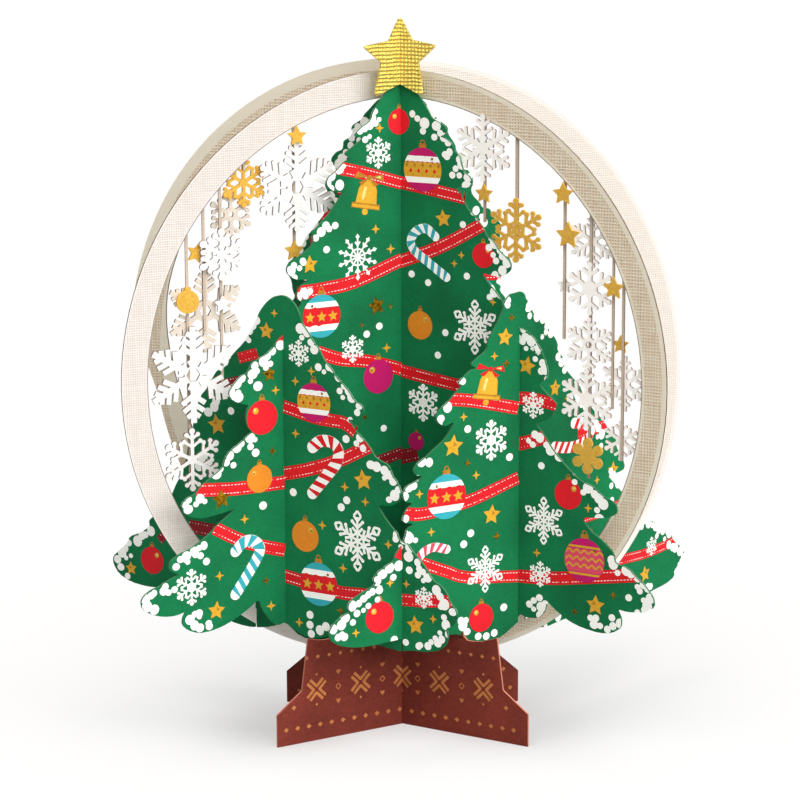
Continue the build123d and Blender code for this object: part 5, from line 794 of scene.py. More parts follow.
INK = {
    "white": ink("ink_white", (246, 250, 244), 0.7, 0.02),
    "red": ink("ink_red", (246, 24, 42), 0.55, 0.05),
    "ribbon": ink("ink_ribbon", (240, 24, 36), 0.55, 0.06),
    "dark": ink("ink_dark_red", (150, 16, 30), 0.6, 0.08),
    "orange": ink("ink_orange", (250, 150, 38), 0.55, 0.05),
    "magenta": ink("ink_magenta", (210, 16, 112), 0.55, 0.05),
    "pink": ink("ink_pink", (240, 80, 110), 0.6, 0.05),
    "teal": ink("ink_teal", (56, 186, 200), 0.6, 0.04),
    "gold": ink("ink_gold", (246, 182, 44), 0.42, 0.10, 0.5),
    "ochre": ink("ink_ochre", (200, 134, 28), 0.45, 0.16, 0.5),
    "brown": ink("ink_brown", (110, 60, 44), 0.6, 0.1),
    "tan": ink("ink_tan", (214, 132, 72), 0.55, 0.12, 0.4),
    "glint": ink("ink_glint", (255, 232, 140), 0.4, 0.05, 0.5),
    "foil": foil("foil_print", lin((226, 170, 40)), 0.34, 900.0, 0.9, lin((70, 44, 4))),
}
INK_ORDER = list(INK)
# painted light: the white ink glows faintly, lightening white print where it lies in shade
for k, e in (("white", 0.2),):
    b = INK[k].node_tree.nodes["Principled BSDF"]
    b.inputs["Emission Color"].default_value = (1.0, 0.98, 0.94, 1)
    b.inputs["Emission Strength"].default_value = e


# ------------------------------------------------------------ print geometry
def clip(poly, conv):
    """Part of a polygon inside a convex one (both lists of (x, y))."""
    area = 0.0
    for i in range(len(conv)):
        x0, y0 = conv[i - 1]
        x1, y1 = conv[i]
        area += x0 * y1 - x1 * y0
    if area < 0:
        conv = conv[::-1]
    out = poly
    for i in range(len(conv)):
        ax, ay = conv[i - 1]
        bx, by = conv[i]
        ex, ey = bx - ax, by - ay
        if abs(ex) + abs(ey) < 1e-9:
            continue
        src, out = out, []
        if not src:
            return []
        px, py = src[-1]
        pd = ex * (py - ay) - ey * (px - ax)
        for (qx, qy) in src:
            qd = ex * (qy - ay) - ey * (qx - ax)
            if (qd >= 0) != (pd >= 0):
                s = pd / (pd - qd)
                out.append((px + (qx - px) * s, py + (qy - py) * s))
            if qd >= 0:
                out.append((qx, qy))
            px, py, pd = qx, qy, qd
    return out


def inside(pt, poly):
    x, y = pt
    c = False
    j = len(poly) - 1
    for i in range(len(poly)):
        xi, yi = poly[i]
        xj, yj = poly[j]
        if (yi > y) != (yj > y) and x < (xj - xi) * (y - yi) / (yj - yi) + xi:
            c = not c
        j = i
    return c


def ngon(cx, cy, rx, ry=None, n=28, rot=0.0):
    ry = rx if ry is None else ry
    return [(cx + rx * math.cos(2 * math.pi * i / n + rot),
             cy + ry * math.sin(2 * math.pi * i / n + rot)) for i in range(n)]


def quad(x0, y0, x1, y1, w0, w1=None):
    w1 = w0 if w1 is None else w1
    dx, dy = x1 - x0, y1 - y0
    ln = math.hypot(dx, dy) or 1e-9
    nx, ny = -dy / ln, dx / ln
    return [(x0 + nx * w0 / 2, y0 + ny * w0 / 2), (x1 + nx * w1 / 2, y1 + ny * w1 / 2),
            (x1 - nx * w1 / 2, y1 - ny * w1 / 2), (x0 - nx * w0 / 2, y0 - ny * w0 / 2)]


def moved(polys, cx, cy, rot=0.0, s=1.0):
    c, d = math.cos(rot), math.sin(rot)
    return [(k, lv, [(cx + s * (x * c - y * d), cy + s * (x * d + y * c)) for x, y in p])
            for k, lv, p in polys]


def star_polys(colour, lv, r, inner=0.5, spin=0.0):
    out = []
    for i in range(5):
        a = math.radians(90 + spin + 72 * i)
        b0, b1 = a - math.radians(36), a + math.radians(36)
        out.append((colour, lv, [(0, 0), (r * inner * math.cos(b0), r * inner * math.sin(b0)),
                                 (r * math.cos(a), r * math.sin(a)),
                                 (r * inner * math.cos(b1), r * inner * math.sin(b1))]))
    return out


def spark_polys(colour, lv, r):
    out = []
    for i in range(4):
        a = math.radians(90 * i)
        b0, b1 = a - math.radians(45), a + math.radians(45)
        out.append((colour, lv, [(0, 0), (r * 0.36 * math.cos(b0), r * 0.36 * math.sin(b0)),
                                 (r * math.cos(a), r * math.sin(a)),
                                 (r * 0.36 * math.cos(b1), r * 0.36 * math.sin(b1))]))
    return out


def flake_polys(r, kind):
    """Own constructions of snow crystals, printed white."""
    out = []
    arms = 10 if kind == 2 else 6
    w = r * {1: 0.105, 2: 0.075, 3: 0.080}[kind]
    for i in range(arms):
        a = 90.0 + 360.0 / arms * i
        bits = [quad(0.0, 0, r * 0.80, 0, w)]
        if kind == 1:
            for pos, ln in ((0.36, 0.30), (0.64, 0.26)):
                for sg in (1, -1):
                    ex = pos * r + ln * r * math.cos(math.radians(55))
                    ey = sg * ln * r * math.sin(math.radians(55))
                    bits.append(quad(pos * r, 0, ex, ey, w))
                    bits.append(ngon(ex, ey, w * 0.78, n=8))
            bits.append(ngon(r * 0.88, 0, w * 1.15, n=10))
        elif kind == 2:
            for sg in (1, -1):
                bits.append(quad(r * 0.50, 0, r * 0.66, sg * r * 0.12, w * 1.1))
            bits.append([(r * 0.74, 0), (r * 0.87, r * 0.105), (r, 0), (r * 0.87, -r * 0.105)])
        else:
            for sg in (1, -1):
                bits.append(quad(r * 0.24, 0, r * 0.44, sg * r * 0.20, w * 1.15))
                bits.append(quad(r * 0.44, 0, r * 0.64, sg * r * 0.20, w * 1.15))
                bits.append(ngon(r * 0.64, sg * r * 0.20, w * 0.8, n=8))
            # open diamond at the end
            p = [(r * 0.66, 0), (r * 0.83, r * 0.14), (r, 0), (r * 0.83, -r * 0.14)]
            for q in range(4):
                bits.append(quad(p[q - 1][0], p[q - 1][1], p[q][0], p[q][1], w * 1.05))
        for b in bits:
            out += moved([("white", 4, b)], 0, 0, math.radians(a))
        b0, b1 = math.radians(a), math.radians(a + 360.0 / arms)
        rr = r * {1: 0.24, 2: 0.36, 3: 0.27}[kind]
        out.append(("white", 4, quad(rr * math.cos(b0), rr * math.sin(b0),
                                     rr * math.cos(b1), rr * math.sin(b1), w * 1.0)))
    return out


def band(r, y0, y1, colour, lv, wave=0.0):
    """Slice of a disc between two heights, both in parts of the radius."""
    n = 12
    polys = []
    full = ngon(0, 0, r, n=44)
    for i in range(n):
        xa, xb = -r + 2 * r * i / n, -r + 2 * r * (i + 1) / n
        wa, wb = (wave * math.sin(i * 2.1), wave * math.sin((i + 1) * 2.1))
        if wave == 0.0 and i:
            break
        if wave == 0.0:
            xa, xb, wa, wb = -r, r, 0, 0
        bx = [(xa, (y0 + wa) * r), (xb, (y0 + wb) * r), (xb, (y1 + wb) * r), (xa, (y1 + wa) * r)]
        p = clip(full, bx)
        if len(p) > 2:
            polys.append((colour, lv, p))
    return polys


def bauble(kind, r):
    out = []
    plain = kind.endswith("_n")
    kind = kind[:-2] if plain else kind
    cap = "ochre"
    out.append((cap, 4, [(-r * 0.20, r * 0.93), (r * 0.20, r * 0.93), (r * 0.18, r * 1.18), (-r * 0.18, r * 1.18)]))
    for i in range(8):
        a0, a1 = 2 * math.pi * i / 8, 2 * math.pi * (i + 1) / 8
        out.append((cap, 4, quad(0.11 * r * math.cos(a0), r * (1.24 + 0.10 * math.sin(a0)),
                                 0.11 * r * math.cos(a1), r * (1.24 + 0.10 * math.sin(a1)), r * 0.05)))
    base = {"b_red": "red", "b_orange": "orange", "b_mag0": "magenta"}.get(kind)
    if base:
        out.append((base, 5, ngon(0, 0, r, n=44)))
        if plain:
            return out
        out.append(("gold", 6, ngon(-r * 0.42, r * 0.42, r * 0.19, n=14)))
        out.append(("glint", 7, ngon(-r * 0.46, r * 0.47, r * 0.09, n=10)))
        if kind != "b_red":
            out.append(("ochre", 8, ngon(-r * 0.46, r * 0.40, r * 0.09, n=10)))
        return out
    if kind == "b_mag":
        out += band(r, 0.62, 1.0, "magenta", 5)
        out += band(r, 0.36, 0.62, "white", 5, 0.012)
        out += band(r, -0.34, 0.36, "gold", 5)
        out += band(r, -0.60, -0.34, "white", 5)
        out += band(r, -1.0, -0.60, "magenta", 5)
        for i in range(-2, 3):
            for j, yy in enumerate((0.20, -0.06)):
                x = (i + 0.5 * j) * 0.42
                if abs(x) < 0.86:
                    out.append(("ribbon" if j else "ochre", 6, [(x * r - r * 0.09, yy * r), (x * r, yy * r + r * 0.11),
                                                              (x * r + r * 0.09, yy * r), (x * r, yy * r - r * 0.11)]))
        for i in range(7):
            x = -0.78 + i * 0.26
            out.append(("magenta", 6, [(x * r - r * 0.07, 0.37 * r), (x * r + r * 0.07, 0.37 * r), (x * r, 0.28 * r)]))
            out.append(("ochre", 6, ngon(x * r, -0.26 * r, r * 0.035, n=6)))
    elif kind == "b_stripe":
        out += band(r, 0.66, 1.0, "teal", 5)
        out += band(r, 0.40, 0.66, "white", 5)
        out += band(r, -0.42, 0.40, "ribbon", 5, 0.05)
        out += band(r, -0.68, -0.40, "white", 5)
        out += band(r, -1.0, -0.68, "teal", 5)
        for x in (-0.62, 0.0, 0.60):
            st = star_polys("gold", 6, r * 0.27, 0.45, 8 * x)
            out += [(c, lv, clip(p, ngon(0, 0, r, n=44))) for c, lv, p in moved(st, x * r, -0.03 * r)]
    elif kind == "b_zig":
        out += band(r, 0.50, 1.0, "magenta", 5)
        out += band(r, -0.55, 0.50, "coral" if "coral" in INK else "pink", 5)
        out += band(r, -1.0, -0.55, "magenta", 5)
        for yy, c in ((0.34, "gold"), (0.02, "gold"), (-0.30, "gold")):
            pts = [(-0.95 + 0.19 * i, yy + (0.13 if i % 2 else -0.05)) for i in range(11)]
            for (xa, ya), (xb, yb) in zip(pts, pts[1:]):
                q = clip(quad(xa * r, ya * r, xb * r, yb * r, r * 0.075), ngon(0, 0, r, n=44))
                if len(q) > 2:
                    out.append((c, 6, q))
        for yy in (0.60, -0.64):
            q = clip([(-r, (yy - 0.05) * r), (r, (yy - 0.05) * r), (r, (yy + 0.05) * r), (-r, (yy + 0.05) * r)],
                     ngon(0, 0, r, n=44))
            out.append(("gold", 6, q))
    out.append(("foil", 7, ngon(-r * 0.50, r * 0.50, r * 0.07, n=8)))
    return out


def bell_polys(r, bow):
    out = []
    body = [(-0.34, 0.78), (0.34, 0.78), (0.52, 0.45), (0.62, -0.35), (-0.62, -0.35), (-0.52, 0.45)]
    out.append(("gold", 5, [(x * r, y * r) for x, y in body]))
    out.append(("gold", 5, ngon(0, 0.70 * r, 0.36 * r, 0.24 * r, 20)))
    out.append(("ochre", 6, [(-0.82 * r, -0.52 * r), (0.82 * r, -0.52 * r), (0.80 * r, -0.26 * r), (-0.80 * r, -0.26 * r)]))
    out.append(("gold", 7, [(-0.78 * r, -0.48 * r), (0.78 * r, -0.48 * r), (0.76 * r, -0.34 * r), (-0.76 * r, -0.34 * r)]))
    out.append(("gold", 5, ngon(0, -0.66 * r, 0.17 * r, n=14)))
    out.append(("glint", 6, [(-0.22 * r, 0.55 * r), (-0.05 * r, 0.52 * r), (-0.16 * r, -0.10 * r), (-0.30 * r, -0.05 * r)]))
    for sg in (1, -1):
        wing = [(0, 1.02 * r), (sg * 0.72 * r, 1.24 * r), (sg * 0.86 * r, 0.92 * r)]
        out.append((bow, 7, wing))
        tail = [(0, 1.0 * r), (sg * 0.34 * r, 0.60 * r), (sg * 0.58 * r, 0.72 * r)]
        out.append((bow, 6, tail))
    out.append((bow, 8, ngon(0, 1.0 * r, 0.13 * r, n=12)))
    out.append(("glint", 8, [(0.30 * r, 1.06 * r), (0.62 * r, 1.15 * r), (0.66 * r, 1.02 * r)]))
    return moved(out, 0, 0, -0.17)


def spline(pts, n):
    """Smooth curve through points (Catmull-Rom)."""
    if len(pts) == 2:
        return [(pts[0][0] + (pts[1][0] - pts[0][0]) * i / n, pts[0][1] + (pts[1][1] - pts[0][1]) * i / n)
                for i in range(n + 1)]
    ext = [(2 * pts[0][0] - pts[1][0], 2 * pts[0][1] - pts[1][1])] + [tuple(p) for p in pts] + \
          [(2 * pts[-1][0] - pts[-2][0], 2 * pts[-1][1] - pts[-2][1])]
    out = []
    seg = len(pts) - 1
    for s in range(seg):
        p0, p1, p2, p3 = ext[s:s + 4]
        m = max(2, n // seg)
        for i in range(m):
            t = i / m
            out.append(tuple(0.5 * (2 * p1[k] + (p2[k] - p0[k]) * t + (2 * p0[k] - 5 * p1[k] + 4 * p2[k] - p3[k]) * t * t
                                    + (3 * p1[k] - p0[k] - 3 * p2[k] + p3[k]) * t ** 3) for k in (0, 1)))
    out.append(tuple(pts[-1]))
    return out


def offset_line(line, d):
    out = []
    for i, (x, y) in enumerate(line):
        xa, ya = line[max(0, i - 1)]
        xb, yb = line[min(len(line) - 1, i + 1)]
        ln = math.hypot(xb - xa, yb - ya) or 1e-9
        out.append((x - (yb - ya) / ln * d, y + (xb - xa) / ln * d))
    return out


def ribbon_polys(pts, w, col, rnd):
    line = spline(pts, 24)
    a, b = offset_line(line, w / 2), offset_line(line, -w / 2)
    base = "ribbon" if col == "red" else "dark"
    out = []
    for i in range(len(line) - 1):
        out.append((base, 0, [a[i], a[i + 1], b[i + 1], b[i]]))
    for off in (0.30, -0.30):
        row = offset_line(line, w * off)
        dist = 0.0
        pos, on = rnd.uniform(0, 0.5), True
        for i in range(len(row) - 1):
            (x0, y0), (x1, y1) = row[i], row[i + 1]
            ln = math.hypot(x1 - x0, y1 - y0)
            if ln < 1e-6:
                continue
            end = dist + ln
            while pos < end:
                s0 = (pos - dist) / ln
                s1 = min(1.0, (pos + 0.62 - dist) / ln)
                if s1 > s0:
                    out.append(("white", 1, quad(x0 + (x1 - x0) * s0, y0 + (y1 - y0) * s0,
                                                 x0 + (x1 - x0) * s1, y0 + (y1 - y0) * s1, 0.20)))
                pos += 1.02
            dist = end
    return out


def cane_polys(pts, w, col):
    line = spline(pts, 60)
    total = sum(math.hypot(line[i + 1][0] - line[i][0], line[i + 1][1] - line[i][1]) for i in range(len(line) - 1))
    a, b = offset_line(line, w / 2), offset_line(line, -w / 2)
    out = [("white", 5, ngon(line[0][0], line[0][1], w / 2, n=16)), ("white", 5, ngon(line[-1][0], line[-1][1], w / 2, n=16))]
    for i in range(len(line) - 1):
        out.append(("white", 5, [a[i], a[i + 1], b[i + 1], b[i]]))
    # slanting stripes
    step = w * 0.92
    cum = [0.0]
    for i in range(len(line) - 1):
        cum.append(cum[-1] + math.hypot(line[i + 1][0] - line[i][0], line[i + 1][1] - line[i][1]))

    def at(side, s):
        s = min(max(s, 0.0), total)
        for i in range(len(cum) - 1):
            if cum[i + 1] >= s:
                t = (s - cum[i]) / ((cum[i + 1] - cum[i]) or 1e-9)
                return (side[i][0] + (side[i + 1][0] - side[i][0]) * t, side[i][1] + (side[i + 1][1] - side[i][1]) * t)
        return side[-1]
    s = -w * 0.2
    while s < total:
        p = [at(a, s + w * 0.35), at(a, s + w * 0.35 + step * 0.5), at(b, s + step * 0.5 - w * 0.1), at(b, s - w * 0.1)]
        out.append((col, 6, p))
        s += step
    return out


def snow_polys(pts, rnd, outline):
    """Lumps of snow along a rim, with loose spots further in."""
    line = spline(pts, 40)
    out = []
    total = sum(math.hypot(line[i + 1][0] - line[i][0], line[i + 1][1] - line[i][1]) for i in range(len(line) - 1))
    # side that lies inside the sheet
    mid = line[len(line) // 2]
    best = None
    for k in range(16):
        a = 2 * math.pi * k / 16
        p = (mid[0] + 1.6 * math.cos(a), mid[1] + 1.6 * math.sin(a))
        if inside(p, outline):
            best = (best[0] + math.cos(a), best[1] + math.sin(a)) if best else (math.cos(a), math.sin(a))
    if best is None:
        best = (0.0, -1.0)
    ln = math.hypot(*best) or 1.0
    nx, ny = best[0] / ln, best[1] / ln
    s, dist, i = 0.0, 0.0, 0
    while s < total:
        while i < len(line) - 2 and dist + math.hypot(line[i + 1][0] - line[i][0], line[i + 1][1] - line[i][1]) < s:
            dist += math.hypot(line[i + 1][0] - line[i][0], line[i + 1][1] - line[i][1])
            i += 1
        x, y = line[i]
        r = rnd.uniform(0.95, 1.60)
        k = rnd.uniform(-0.5, 1.0)
        out.append(("white", 9, ngon(x + nx * k, y + ny * k, r, r * rnd.uniform(0.85, 1.1), 14, rnd.uniform(0, 1))))
        if rnd.random() < 0.42:
            q = rnd.uniform(2.0, 3.1)
            r2 = rnd.uniform(0.75, 1.1)
            out.append(("white", 9, ngon(x + nx * q, y + ny * q, r2, r2 * 0.95, 10, rnd.uniform(0, 1))))
        s += r * rnd.uniform(1.4, 2.1)
    return out


def nordic_polys(r, half=0):
    """Traditional woven star: four open chevrons pointing at each other."""
    out = []
    for i in range(4):
        a = 90 * i
        c, s = math.cos(math.radians(a)), math.sin(math.radians(a))
        ax, ay = c * r * 0.29, s * r * 0.29
        for sg in (1, -1):
            b = math.radians(a + sg * 45)
            bc, bs = math.cos(b), math.sin(b)
            x0, y0 = ax - bc * r * 0.05, ay - bs * r * 0.05
            x1, y1 = ax + bc * r * 0.92, ay + bs * r * 0.92
            out.append(("tan", 4, quad(x0, y0, x1, y1, r * 0.26)))
        if i % 2:
            out.append(("tan", 4, ngon(c * r * 1.36, s * r * 1.36, r * 0.13, n=4)))
    if half:
        out = [(k, lv, clip(p, [(0, -9), (9, -9), (9, 9), (0, 9)])) for k, lv, p in out]
        out = [o for o in out if len(o[2]) > 2]
    return out


def motif_polys(mo, rnd, outline):
    kind = mo[0]
    if kind == "ribbon":
        return ribbon_polys(mo[1], mo[2], mo[3], rnd)
    if kind == "snow":
        return snow_polys(mo[1], rnd, outline)
    if kind == "redtip":
        return [("red", 3, [tuple(p) for p in mo[1]])]
    if kind == "cane":
        return cane_polys(mo[5], mo[6], {"teal": "teal", "red": "ribbon", "pink": "pink"}[mo[4]])
    t, z, r = mo[1:4]
    if kind.startswith("b_"):
        pl = bauble(kind, r)
    elif kind == "dot":
        pl = [("white", 4, ngon(0, 0, r, r * 0.96, 12, rnd.uniform(0, 1)))]
    elif kind == "spark":
        pl = spark_polys("gold", 4, r)
    elif kind == "fspark":
        pl = spark_polys("foil", 4, r)
    elif kind == "gstar":
        pl = star_polys("gold", 4, r, 0.5, rnd.uniform(-12, 12)) + \
            [("ochre", 5, [(0, 0), (r * 0.4, r * 0.05), (r * 0.1, r * 0.4)])]
    elif kind == "fstar":
        pl = star_polys("foil", 4, r, 0.5, rnd.uniform(-12, 12))
    elif kind == "flake1":
        pl = flake_polys(r, 1)
    elif kind == "flake2":
        pl = flake_polys(r, 2)
    elif kind == "flake3":
        pl = flake_polys(r, 3)
    elif kind == "bell":
        pl = bell_polys(r, "ochre")
    elif kind == "bell2":
        pl = bell_polys(r, "ribbon")
    elif kind == "nordic":
        pl = nordic_polys(r)
    elif kind == "nordic0":
        pl = nordic_polys(r, 1)
    elif kind == "dia":
        pl = [("tan", 4, [(-r * 1.1, 0), (0, r), (r * 1.1, 0), (0, -r)])]
    elif kind == "hdia":
        p = [(-r, 0), (0, r), (r, 0), (0, -r)]
        pl = [("tan", 4, quad(p[i - 1][0], p[i - 1][1], p[i][0], p[i][1], r * 0.34)) for i in range(4)]
    elif kind == "heart":
        pl = [("tan", 4, ngon(-r * 0.42, r * 0.25, r * 0.42, n=8)), ("tan", 4, ngon(r * 0.42, r * 0.25, r * 0.42, n=8)),
              ("tan", 4, [(-r * 0.8, r * 0.1), (r * 0.8, r * 0.1), (0, -r * 0.9)])]
    elif kind == "tick":
        pl = [("tan", 4, quad(-r * 0.5, 0, r * 0.5, 0, r * 0.55))]
    else:
        return []
    return moved(pl, t, z)


LEVEL0, LEVEL = 0.025, 0.009


def print_piece(name, parts):
    """One mesh with all printed shapes of a sheet, on both faces."""
    verts, faces, mats = [], [], []
    rnd = random.Random(sum(ord(c) for c in name))
    for sheet, motifs in parts:
        (ox, oy), (dx, dy), th, outline = SHEETS[sheet]
        outline = [tuple(p) for p in outline]
        polys = []
        for mo in motifs:
            polys += motif_polys(mo, rnd, outline)
        xs = [p[0] for p in outline]
        for side in (1, -1):
            nx, ny = (dy * side, -dx * side)
            for count, (colour, lv, poly) in enumerate(polys):
                if len(poly) < 3:
                    continue
                p = poly
                near = False
                if not all(inside(q, outline) for q in poly):
                    near = True
                else:
                    x0, x1 = min(q[0] for q in poly), max(q[0] for q in poly)
                    y0, y1 = min(q[1] for q in poly), max(q[1] for q in poly)
                    near = any(x0 < q[0] < x1 and y0 < q[1] < y1 for q in outline)
                if near:
                    p = clip(outline, poly)
                    if len(p) < 3:
                        continue
                clean = []
                for q in p:
                    if not clean or math.hypot(q[0] - clean[-1][0], q[1] - clean[-1][1]) > 1e-4:
                        clean.append(q)
                if len(clean) > 1 and math.hypot(clean[0][0] - clean[-1][0], clean[0][1] - clean[-1][1]) < 1e-4:
                    clean.pop()
                if len(clean) < 3:
                    continue
                area = sum(clean[i - 1][0] * clean[i][1] - clean[i][0] * clean[i - 1][1] for i in range(len(clean))) / 2
                if abs(area) < 1e-4:
                    continue
                # face turns outward: t x z gives the (dy, -dx) side
                if (area > 0) != (side > 0):
                    clean = clean[::-1]
                off = th / 2 + LEVEL0 + LEVEL * lv + 0.00035 * (count % 23)
                base = len(verts)
                for t, z in clean:
                    verts.append(((ox + dx * t + nx * off) * MM, (oy + dy * t + ny * off) * MM, z * MM))
                faces.append(list(range(base, base + len(clean))))
                mats.append(INK_ORDER.index(colour))
    me = bpy.data.meshes.new(name)
    me.from_pydata(verts, [], faces)
    for k in INK_ORDER:
        me.materials.append(INK[k])
    me.polygons.foreach_set("material_index", mats)
    me.update()
    ob = bpy.data.objects.new(name, me)
    bpy.context.scene.collection.objects.link(ob)
    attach(ob, "root")
    return ob


def beyond(motifs, s0, lo, hi):
    """The hidden half of a sheet carries the same kind of print, turned round."""
    out = []
    for mo in motifs:
        m2 = json.loads(json.dumps(mo))
        if mo[0] in ("ribbon", "redtip", "snow"):
            m2[1] = [[2 * s0 - p[0], p[1]] for p in mo[1]]
            if all(lo < p[0] < hi for p in mo[1]):
                out.append(m2)
        elif mo[0] == "cane":
            continue
        elif lo < mo[1] < s0 - 4.5:
            m2[1] = 2 * s0 - mo[1]
            out.append(m2)
    return out


hid_ra = beyond(MOTIFS["ra"], LAT_S, -1.0, LAT_S + 1)
hid_rb = beyond(MOTIFS["rb"], LAT_S, -1.0, LAT_S + 1)
print_piece("print_rear_a", [("ra", MOTIFS["ra"] + hid_ra)])
print_piece("print_rear_b", [("rb", MOTIFS["rb"] + hid_rb)])
print_piece("print_front_b", [("fb", MOTIFS["fb"])])
print_piece("print_front_a", [("fa", MOTIFS["fa"]), ("bt", MOTIFS["bt"])])
foot_motifs = {}
for s in ("fl", "fr"):
    back = []
    for mo in MOTIFS[s]:
        m2 = list(mo)
        m2[1] = -mo[1] * 0.96
        if mo[0] != "nordic0":
            back.append(m2)
    foot_motifs[s] = MOTIFS[s] + back
print_piece("print_foot_left", [("fl", foot_motifs["fl"])])
print_piece("print_foot_right", [("fr", foot_motifs["fr"])])

# --------------------------------------------------------- card of each node
NA = (0.533, -0.846, 0.0)
NB = (-0.533, -0.846, 0.0)
N_BENT = (0.766, -0.643, 0.0)
lean = Vector((0.575, -1.0, 0.224)).normalized()
RINGS = [(0.418, -0.909, 0.0), (-0.526, -0.851, 0.0), (0.391, 0.921, 0.0), tuple(lean)]
GREEN = lin((10, 124, 74))
EDGE_G = lin((70, 124, 86))
m_tree = card("card_green", GREEN, EDGE_G, [NA, NB, N_BENT], 0.07, 0.35)
m_foot = card("card_brown", lin((134, 56, 44)), lin((206, 130, 106)), [NA, NB], 0.10, 0.4, fibre=700.0)
m_ring = linen("board_linen", lin((250, 245, 241)), lin((218, 196, 176)), lin((112, 82, 58)), RINGS,
               (76.5, 83.3), (78.5, 84.6), 0.55, 0.5, 0.00066, rear_painted_shade=0.42)
# ring b's board: warmer face and browner threads, partly its own tone and partly painted warm shade of the faces turned
# from the key
m_ring_b = linen("board_linen_warm", lin((255, 247, 227)), lin((208, 156, 92)), lin((112, 82, 58)), RINGS,
                 (77.0, 82.3), (76.6, 83.4), 0.66, 0.6, 0.00086)
m_star = foil("foil_star", lin((255, 234, 112)), 0.30, 900.0, 1.0, lin((250, 172, 40)), 0.45, 1.0, 0.22, 0.50)
m_gold = foil("foil_gold", lin((252, 200, 74)), 0.40, 1500.0, 0.5, lin((226, 156, 40)), 0.30, 0.0, 0.25, 0.60)
# painted light: the star foil and gold foil glow faintly, brightening them beyond what the lamps give
for mt, e in ((m_star, 0.10), (m_gold, 0.06)):
    b = mt.node_tree.nodes["Principled BSDF"]
    b.inputs["Emission Color"].default_value = (1.0, 0.80, 0.28, 1)
    b.inputs["Emission Strength"].default_value = e
m_white = card("card_white", lin((248, 248, 246)), lin((118, 84, 58)), RINGS, 0.03, 0.3, mottling=0.02)
# cream card: partly the flakes' own cream tone, partly painted shade for flakes lying further back
m_cream_shaded = card("card_cream_shaded", lin((232, 220, 204)), lin((118, 84, 58)), RINGS, 0.04, 0.35, mottling=0.03)
m_white_glow = card("card_white_glow", lin((252, 248, 243)), lin((118, 84, 58)), RINGS, 0.03, 0.3, mottling=0.02)
# painted light: the white and cream card glow faintly, lifting them where they lie in shade
for mt in (m_white, m_cream_shaded):
    b = mt.node_tree.nodes["Principled BSDF"]
    b.inputs["Emission Color"].default_value = (1.0, 0.97, 0.92, 1)
    b.inputs["Emission Strength"].default_value = 0.05
# painted light: this white card glows more strongly, lifting the flakes on the right and two white stars out of their
# shade
b = m_white_glow.node_tree.nodes["Principled BSDF"]
b.inputs["Emission Color"].default_value = (1.0, 0.955, 0.90, 1)
b.inputs["Emission Strength"].default_value = 0.20
m_strip = card("card_strip", lin((214, 196, 176)), lin((118, 84, 58)), RINGS, 0.05, 0.3, mottling=0.03)


def dress(node, mat):
    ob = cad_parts[node]
    if not ob.material_slots:
        ob.data.materials.append(mat)
    for s in ob.material_slots:
        s.material = mat


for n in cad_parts:
    if n.startswith("tree_"):
        dress(n, m_tree)
    elif n == "frame_ring_a":
        dress(n, m_ring)
    elif n == "frame_ring_b":
        dress(n, m_ring_b)
    elif n.startswith("foot_"):
        dress(n, m_foot)
    elif n == "top_star":
        dress(n, m_star)
    elif n.startswith("strip_"):
        dress(n, m_strip)
    elif n in ("star_left_4", "star_right_4"):
        dress(n, m_white_glow)
    elif n.endswith("_gold") or n.startswith(("star_", "bauble", "flower")):
        dress(n, m_gold)
    elif n.startswith("flake_right"):
        dress(n, m_white_glow)
    # darker cream card on the back flakes, partly their own tone and partly painted shade
    elif n in ('flake_left_5', 'flake_left_6', 'flake_right_1', 'flake_right_3', 'flake_right_5'):
        dress(n, m_cream_shaded)
    else:
        dress(n, m_white)

# ------------------------------------------------------------------- studio
bpy.context.scene.view_settings.view_transform = "Standard"
bpy.context.scene.view_settings.look = "None"
me = bpy.data.meshes.new("floor")
me.from_pydata([(-6, -3, 0), (6, -3, 0), (6, 9, 0), (-6, 9, 0)], [], [(0, 1, 2, 3)])
floor = bpy.data.objects.new("floor", me)
bpy.context.scene.collection.objects.link(floor)
fm = Mat("floor_paper", rough=0.9, spec=0.1)
fc = fm.noise(6.0, 2, 0.5)
fm.color(fm.mix(fc, (0.445, 0.445, 0.45, 1), (0.46, 0.46, 0.462, 1)))
fm.bsdf.inputs["Emission Color"].default_value = (1, 1, 1, 1)
seen = fm.n.new("ShaderNodeLightPath")
# painted shadow: the paper's glow is darkened in two soft spots beside the foot, standing in for its contact shadow
fo = fm.sep(fm.tc.outputs["Object"])
level = None
for cx, amp in ((-0.036, 0.25), (0.036, 0.19)):
    dx = fm.math("MULTIPLY", fm.math("SUBTRACT", fo[0], cx), 51.0)
    dy = fm.math("MULTIPLY", fm.math("ADD", fo[1], 0.002), 51.0)
    d2 = fm.math("ADD", fm.math("MULTIPLY", dx, dx), fm.math("MULTIPLY", dy, dy))
    painted_shadow = fm.math("MULTIPLY", fm.math("EXPONENT", fm.math("MULTIPLY", d2, -1.0)), amp)
    level = fm.math("SUBTRACT", 0.57 if level is None else level, painted_shadow)
fm.link(fm.math("MULTIPLY", seen.outputs["Is Camera Ray"], level), fm.bsdf.inputs["Emission Strength"])
me.materials.append(fm.m)

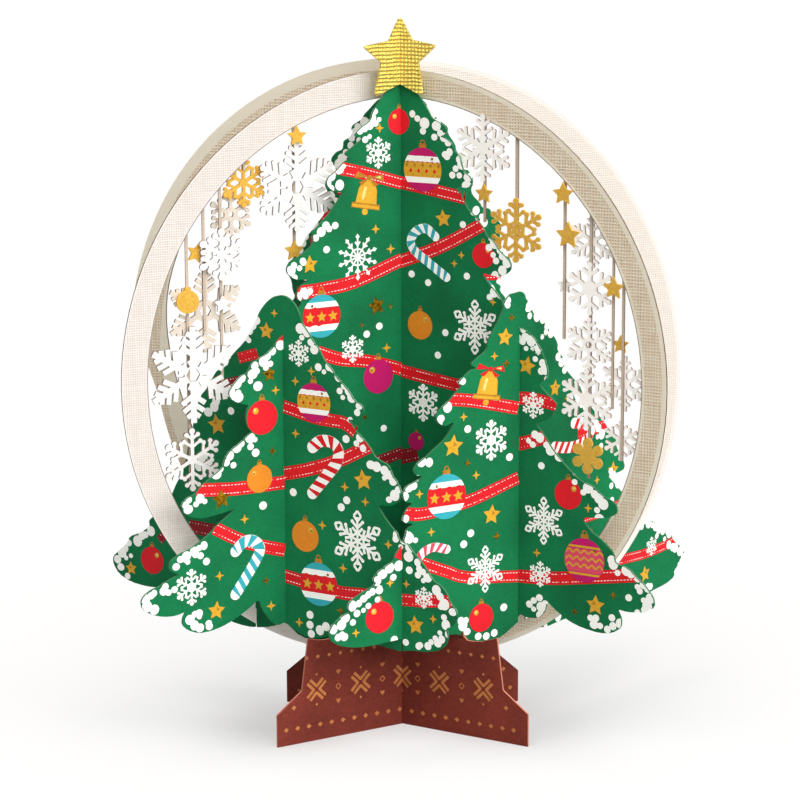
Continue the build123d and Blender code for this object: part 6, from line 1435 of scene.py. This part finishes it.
world = bpy.data.worlds.new("studio")
bpy.context.scene.world = world
world.use_nodes = True
wn = world.node_tree
bg = wn.nodes["Background"]
bg.inputs["Color"].default_value = (1.0, 0.93, 0.84, 1)
bg.inputs["Strength"].default_value = 0.16
# the studio behind stays white where the camera sees past the floor
path = wn.nodes.new("ShaderNodeLightPath")
white = wn.nodes.new("ShaderNodeBackground")
white.inputs["Color"].default_value = (1, 1, 1, 1)
both = wn.nodes.new("ShaderNodeMixShader")
wn.links.new(path.outputs["Is Camera Ray"], both.inputs[0])
wn.links.new(bg.outputs[0], both.inputs[1])
wn.links.new(white.outputs[0], both.inputs[2])
wn.links.new(both.outputs[0], wn.nodes["World Output"].inputs["Surface"])


def sun(name, az, el, power, angle, colour=(1, 1, 1)):
    """az: degrees from the viewer's side toward +X."""
    ld = bpy.data.lights.new(name, "SUN")
    ld.energy = power
    ld.angle = math.radians(angle)
    ld.color = colour
    ob = bpy.data.objects.new(name, ld)
    a, e = math.radians(az), math.radians(el)
    v = Vector((math.sin(a) * math.cos(e), -math.cos(a) * math.cos(e), math.sin(e)))
    ob.rotation_euler = v.to_track_quat("Z", "Y").to_euler()
    ob.location = v * 2
    bpy.context.scene.collection.objects.link(ob)
    return ob


key = sun("key", 46, 38, 2.6, 60, (1.0, 0.99, 0.98))
# the key shapes the card; the floor keeps only the soft light from above
apart = bpy.data.collections.new("key_not_on")
apart.objects.link(floor)
key.light_linking.receiver_collection = apart
apart.collection_objects[0].light_linking.link_state = "EXCLUDE"
sun("fill", -60, 45, 0.12, 60, (1.0, 0.95, 0.88))
sun("top", 15, 80, 2.6, 80, (1.0, 0.99, 0.98))

# ------------------------------------------------------------------- camera
cd = bpy.data.cameras.new("camera")
cd.sensor_width = 36.0
cd.lens = 127.71
cam = bpy.data.objects.new("camera", cd)
cam.location = (-0.000432, -0.76626, 0.24327)
cam.rotation_euler = (Matrix.Rotation(math.radians(78.88), 3, "X")
                      @ Matrix.Rotation(math.radians(-0.19), 3, "Z")).to_euler()
bpy.context.scene.collection.objects.link(cam)
bpy.context.scene.camera = cam
